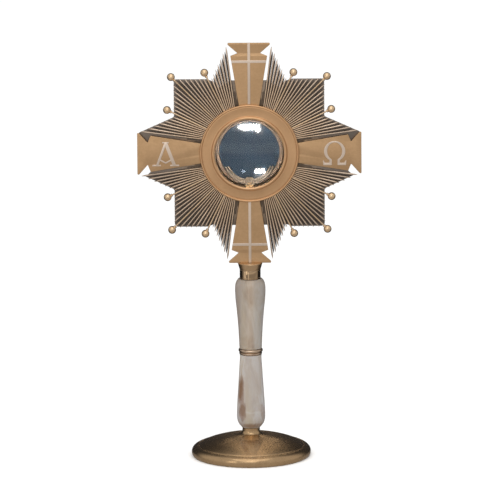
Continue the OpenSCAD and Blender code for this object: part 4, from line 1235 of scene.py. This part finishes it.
HEAD = (0.0, -0.01, 0.393)
FOOT = (0.0, 0.0, 0.02)
only_glass = bpy.data.collections.new("lit_by_window_lights")
only_glass.objects.link(NODE_GLASS)


def window_light(name, x, y, w, h, dist, lum, roll=0.0, shape="RECTANGLE", colour=(1, 1, 1)):
    """A soft box that the domed glass mirrors at (x, y) mm from its centre, w by h mm large there."""
    tx, ty = math.degrees(math.asin(x / DOME)), math.degrees(math.asin(y / DOME))
    L = softbox(name, aim(2 * tx, 2 * ty - 11.3, dist, HEAD), HEAD,
                2 * dist * math.tan(math.radians(2 * math.degrees(w / 2 / DOME))),
                2 * dist * math.tan(math.radians(2 * math.degrees(h / 2 / DOME))), lum, colour, shape)
    L.rotation_quaternion = L.rotation_quaternion @ Matrix.Rotation(math.radians(roll), 4, "Z").to_quaternion()
    L.light_linking.receiver_collection = only_glass
    return L


window_light("window_top_a", -3.8, 35.2, 23.0, 8.2, 3.4, 120.0, 0.0, "ELLIPSE")
window_light("window_top_b", 3.4, 35.0, 22.0, 7.2, 3.4, 120.0, 3.0)
window_light("window_top_tail", 11.0, 32.4, 7.4, 9.4, 3.4, 120.0, 24.0, "ELLIPSE")
window_light("window_low", 16.6, -25.4, 14.0, 7.4, 0.5, 300.0, 3.0)
window_light("window_low_faint", -9.4, -26.0, 6.0, 4.6, 0.5, 7.0, 0.0, "ELLIPSE", (0.85, 0.92, 1.0))

only_collar = bpy.data.collections.new("lit_by_collar_strips")
only_collar.objects.link(NODE_COLLAR)
COLLAR = (0.0, 0.0, 0.236)
for i, (az, wd, lum) in enumerate(((-59, 0.16, 0.75), (-18, 0.07, 0.8))):
    L = softbox("collar_strip_%d" % i, aim(az, -11, 0.6, COLLAR), COLLAR, wd, 0.22, lum, (1.0, 0.95, 0.88))
    L.light_linking.receiver_collection = only_collar

softbox("near_front", aim(-8, 26, 1.55, HEAD), (0, 0, 0.42), 0.75, 0.5, 0.526, (1.0, 0.96, 0.90))
softbox("low_front", (-0.05, -1.0, 0.72), (0, 0, 0.44), 0.50, 0.25, 1.435, (1.0, 0.96, 0.90))
softbox("top_front", (0.06, -0.62, 0.80), (0, 0, 0.49), 0.34, 0.18, 1.5, (1.0, 0.96, 0.90))
only_foot = bpy.data.collections.new("lit_by_foot_lights")
only_foot.objects.link(NODE_FOOT)
open_air = bpy.data.collections.new("blocks_foot_lights")
open_air.objects.link(floor)
for k, (az, e0, e1, lum) in enumerate(((0, 16, 66, 2.4), (-8, 24, 66, 1.2), (8, 22, 66, 1.7),
                                       (16, 32, 68, 0.9))):
    L = softbox("foot_strip_%d" % k, aim(180 - az, (e0 + e1) / 2, 2.2, FOOT), FOOT, 0.07,
                4.4 * math.tan(math.radians((e1 - e0) / 2)), lum, (1.0, 0.82, 0.60))
    L.light_linking.receiver_collection = only_foot
    L.light_linking.blocker_collection = open_air
head_back = bpy.data.collections.new("lit_from_behind")
for ob in list(bpy.data.objects):
    if ob.type == "MESH" and "ball" not in ob.name:
        if ob.bound_box and (ob.matrix_world @ Vector(ob.bound_box[0])).z > 0.20:
            head_back.objects.link(ob)
for az, el, wd, hg, lum in ((158, 22, 1.0, 0.7, 1.5), (-140, 6, 0.5, 0.7, 0.8)):
    L = softbox("behind_%d" % abs(az), aim(az, el, 1.5, HEAD), HEAD, wd, hg, lum, (1.0, 0.96, 0.90))
    L.light_linking.receiver_collection = head_back

softbox("overhead", (0.0, -0.55, 1.9), (0, 0, 0.2), 1.6, 1.3, 0.887, (1.0, 0.95, 0.88))
softbox("left_panel", aim(-38, 8, 0.8, (0, 0, 0.22)), (0, 0, 0.22), 0.20, 0.46, 1.035, (1.0, 0.93, 0.82))
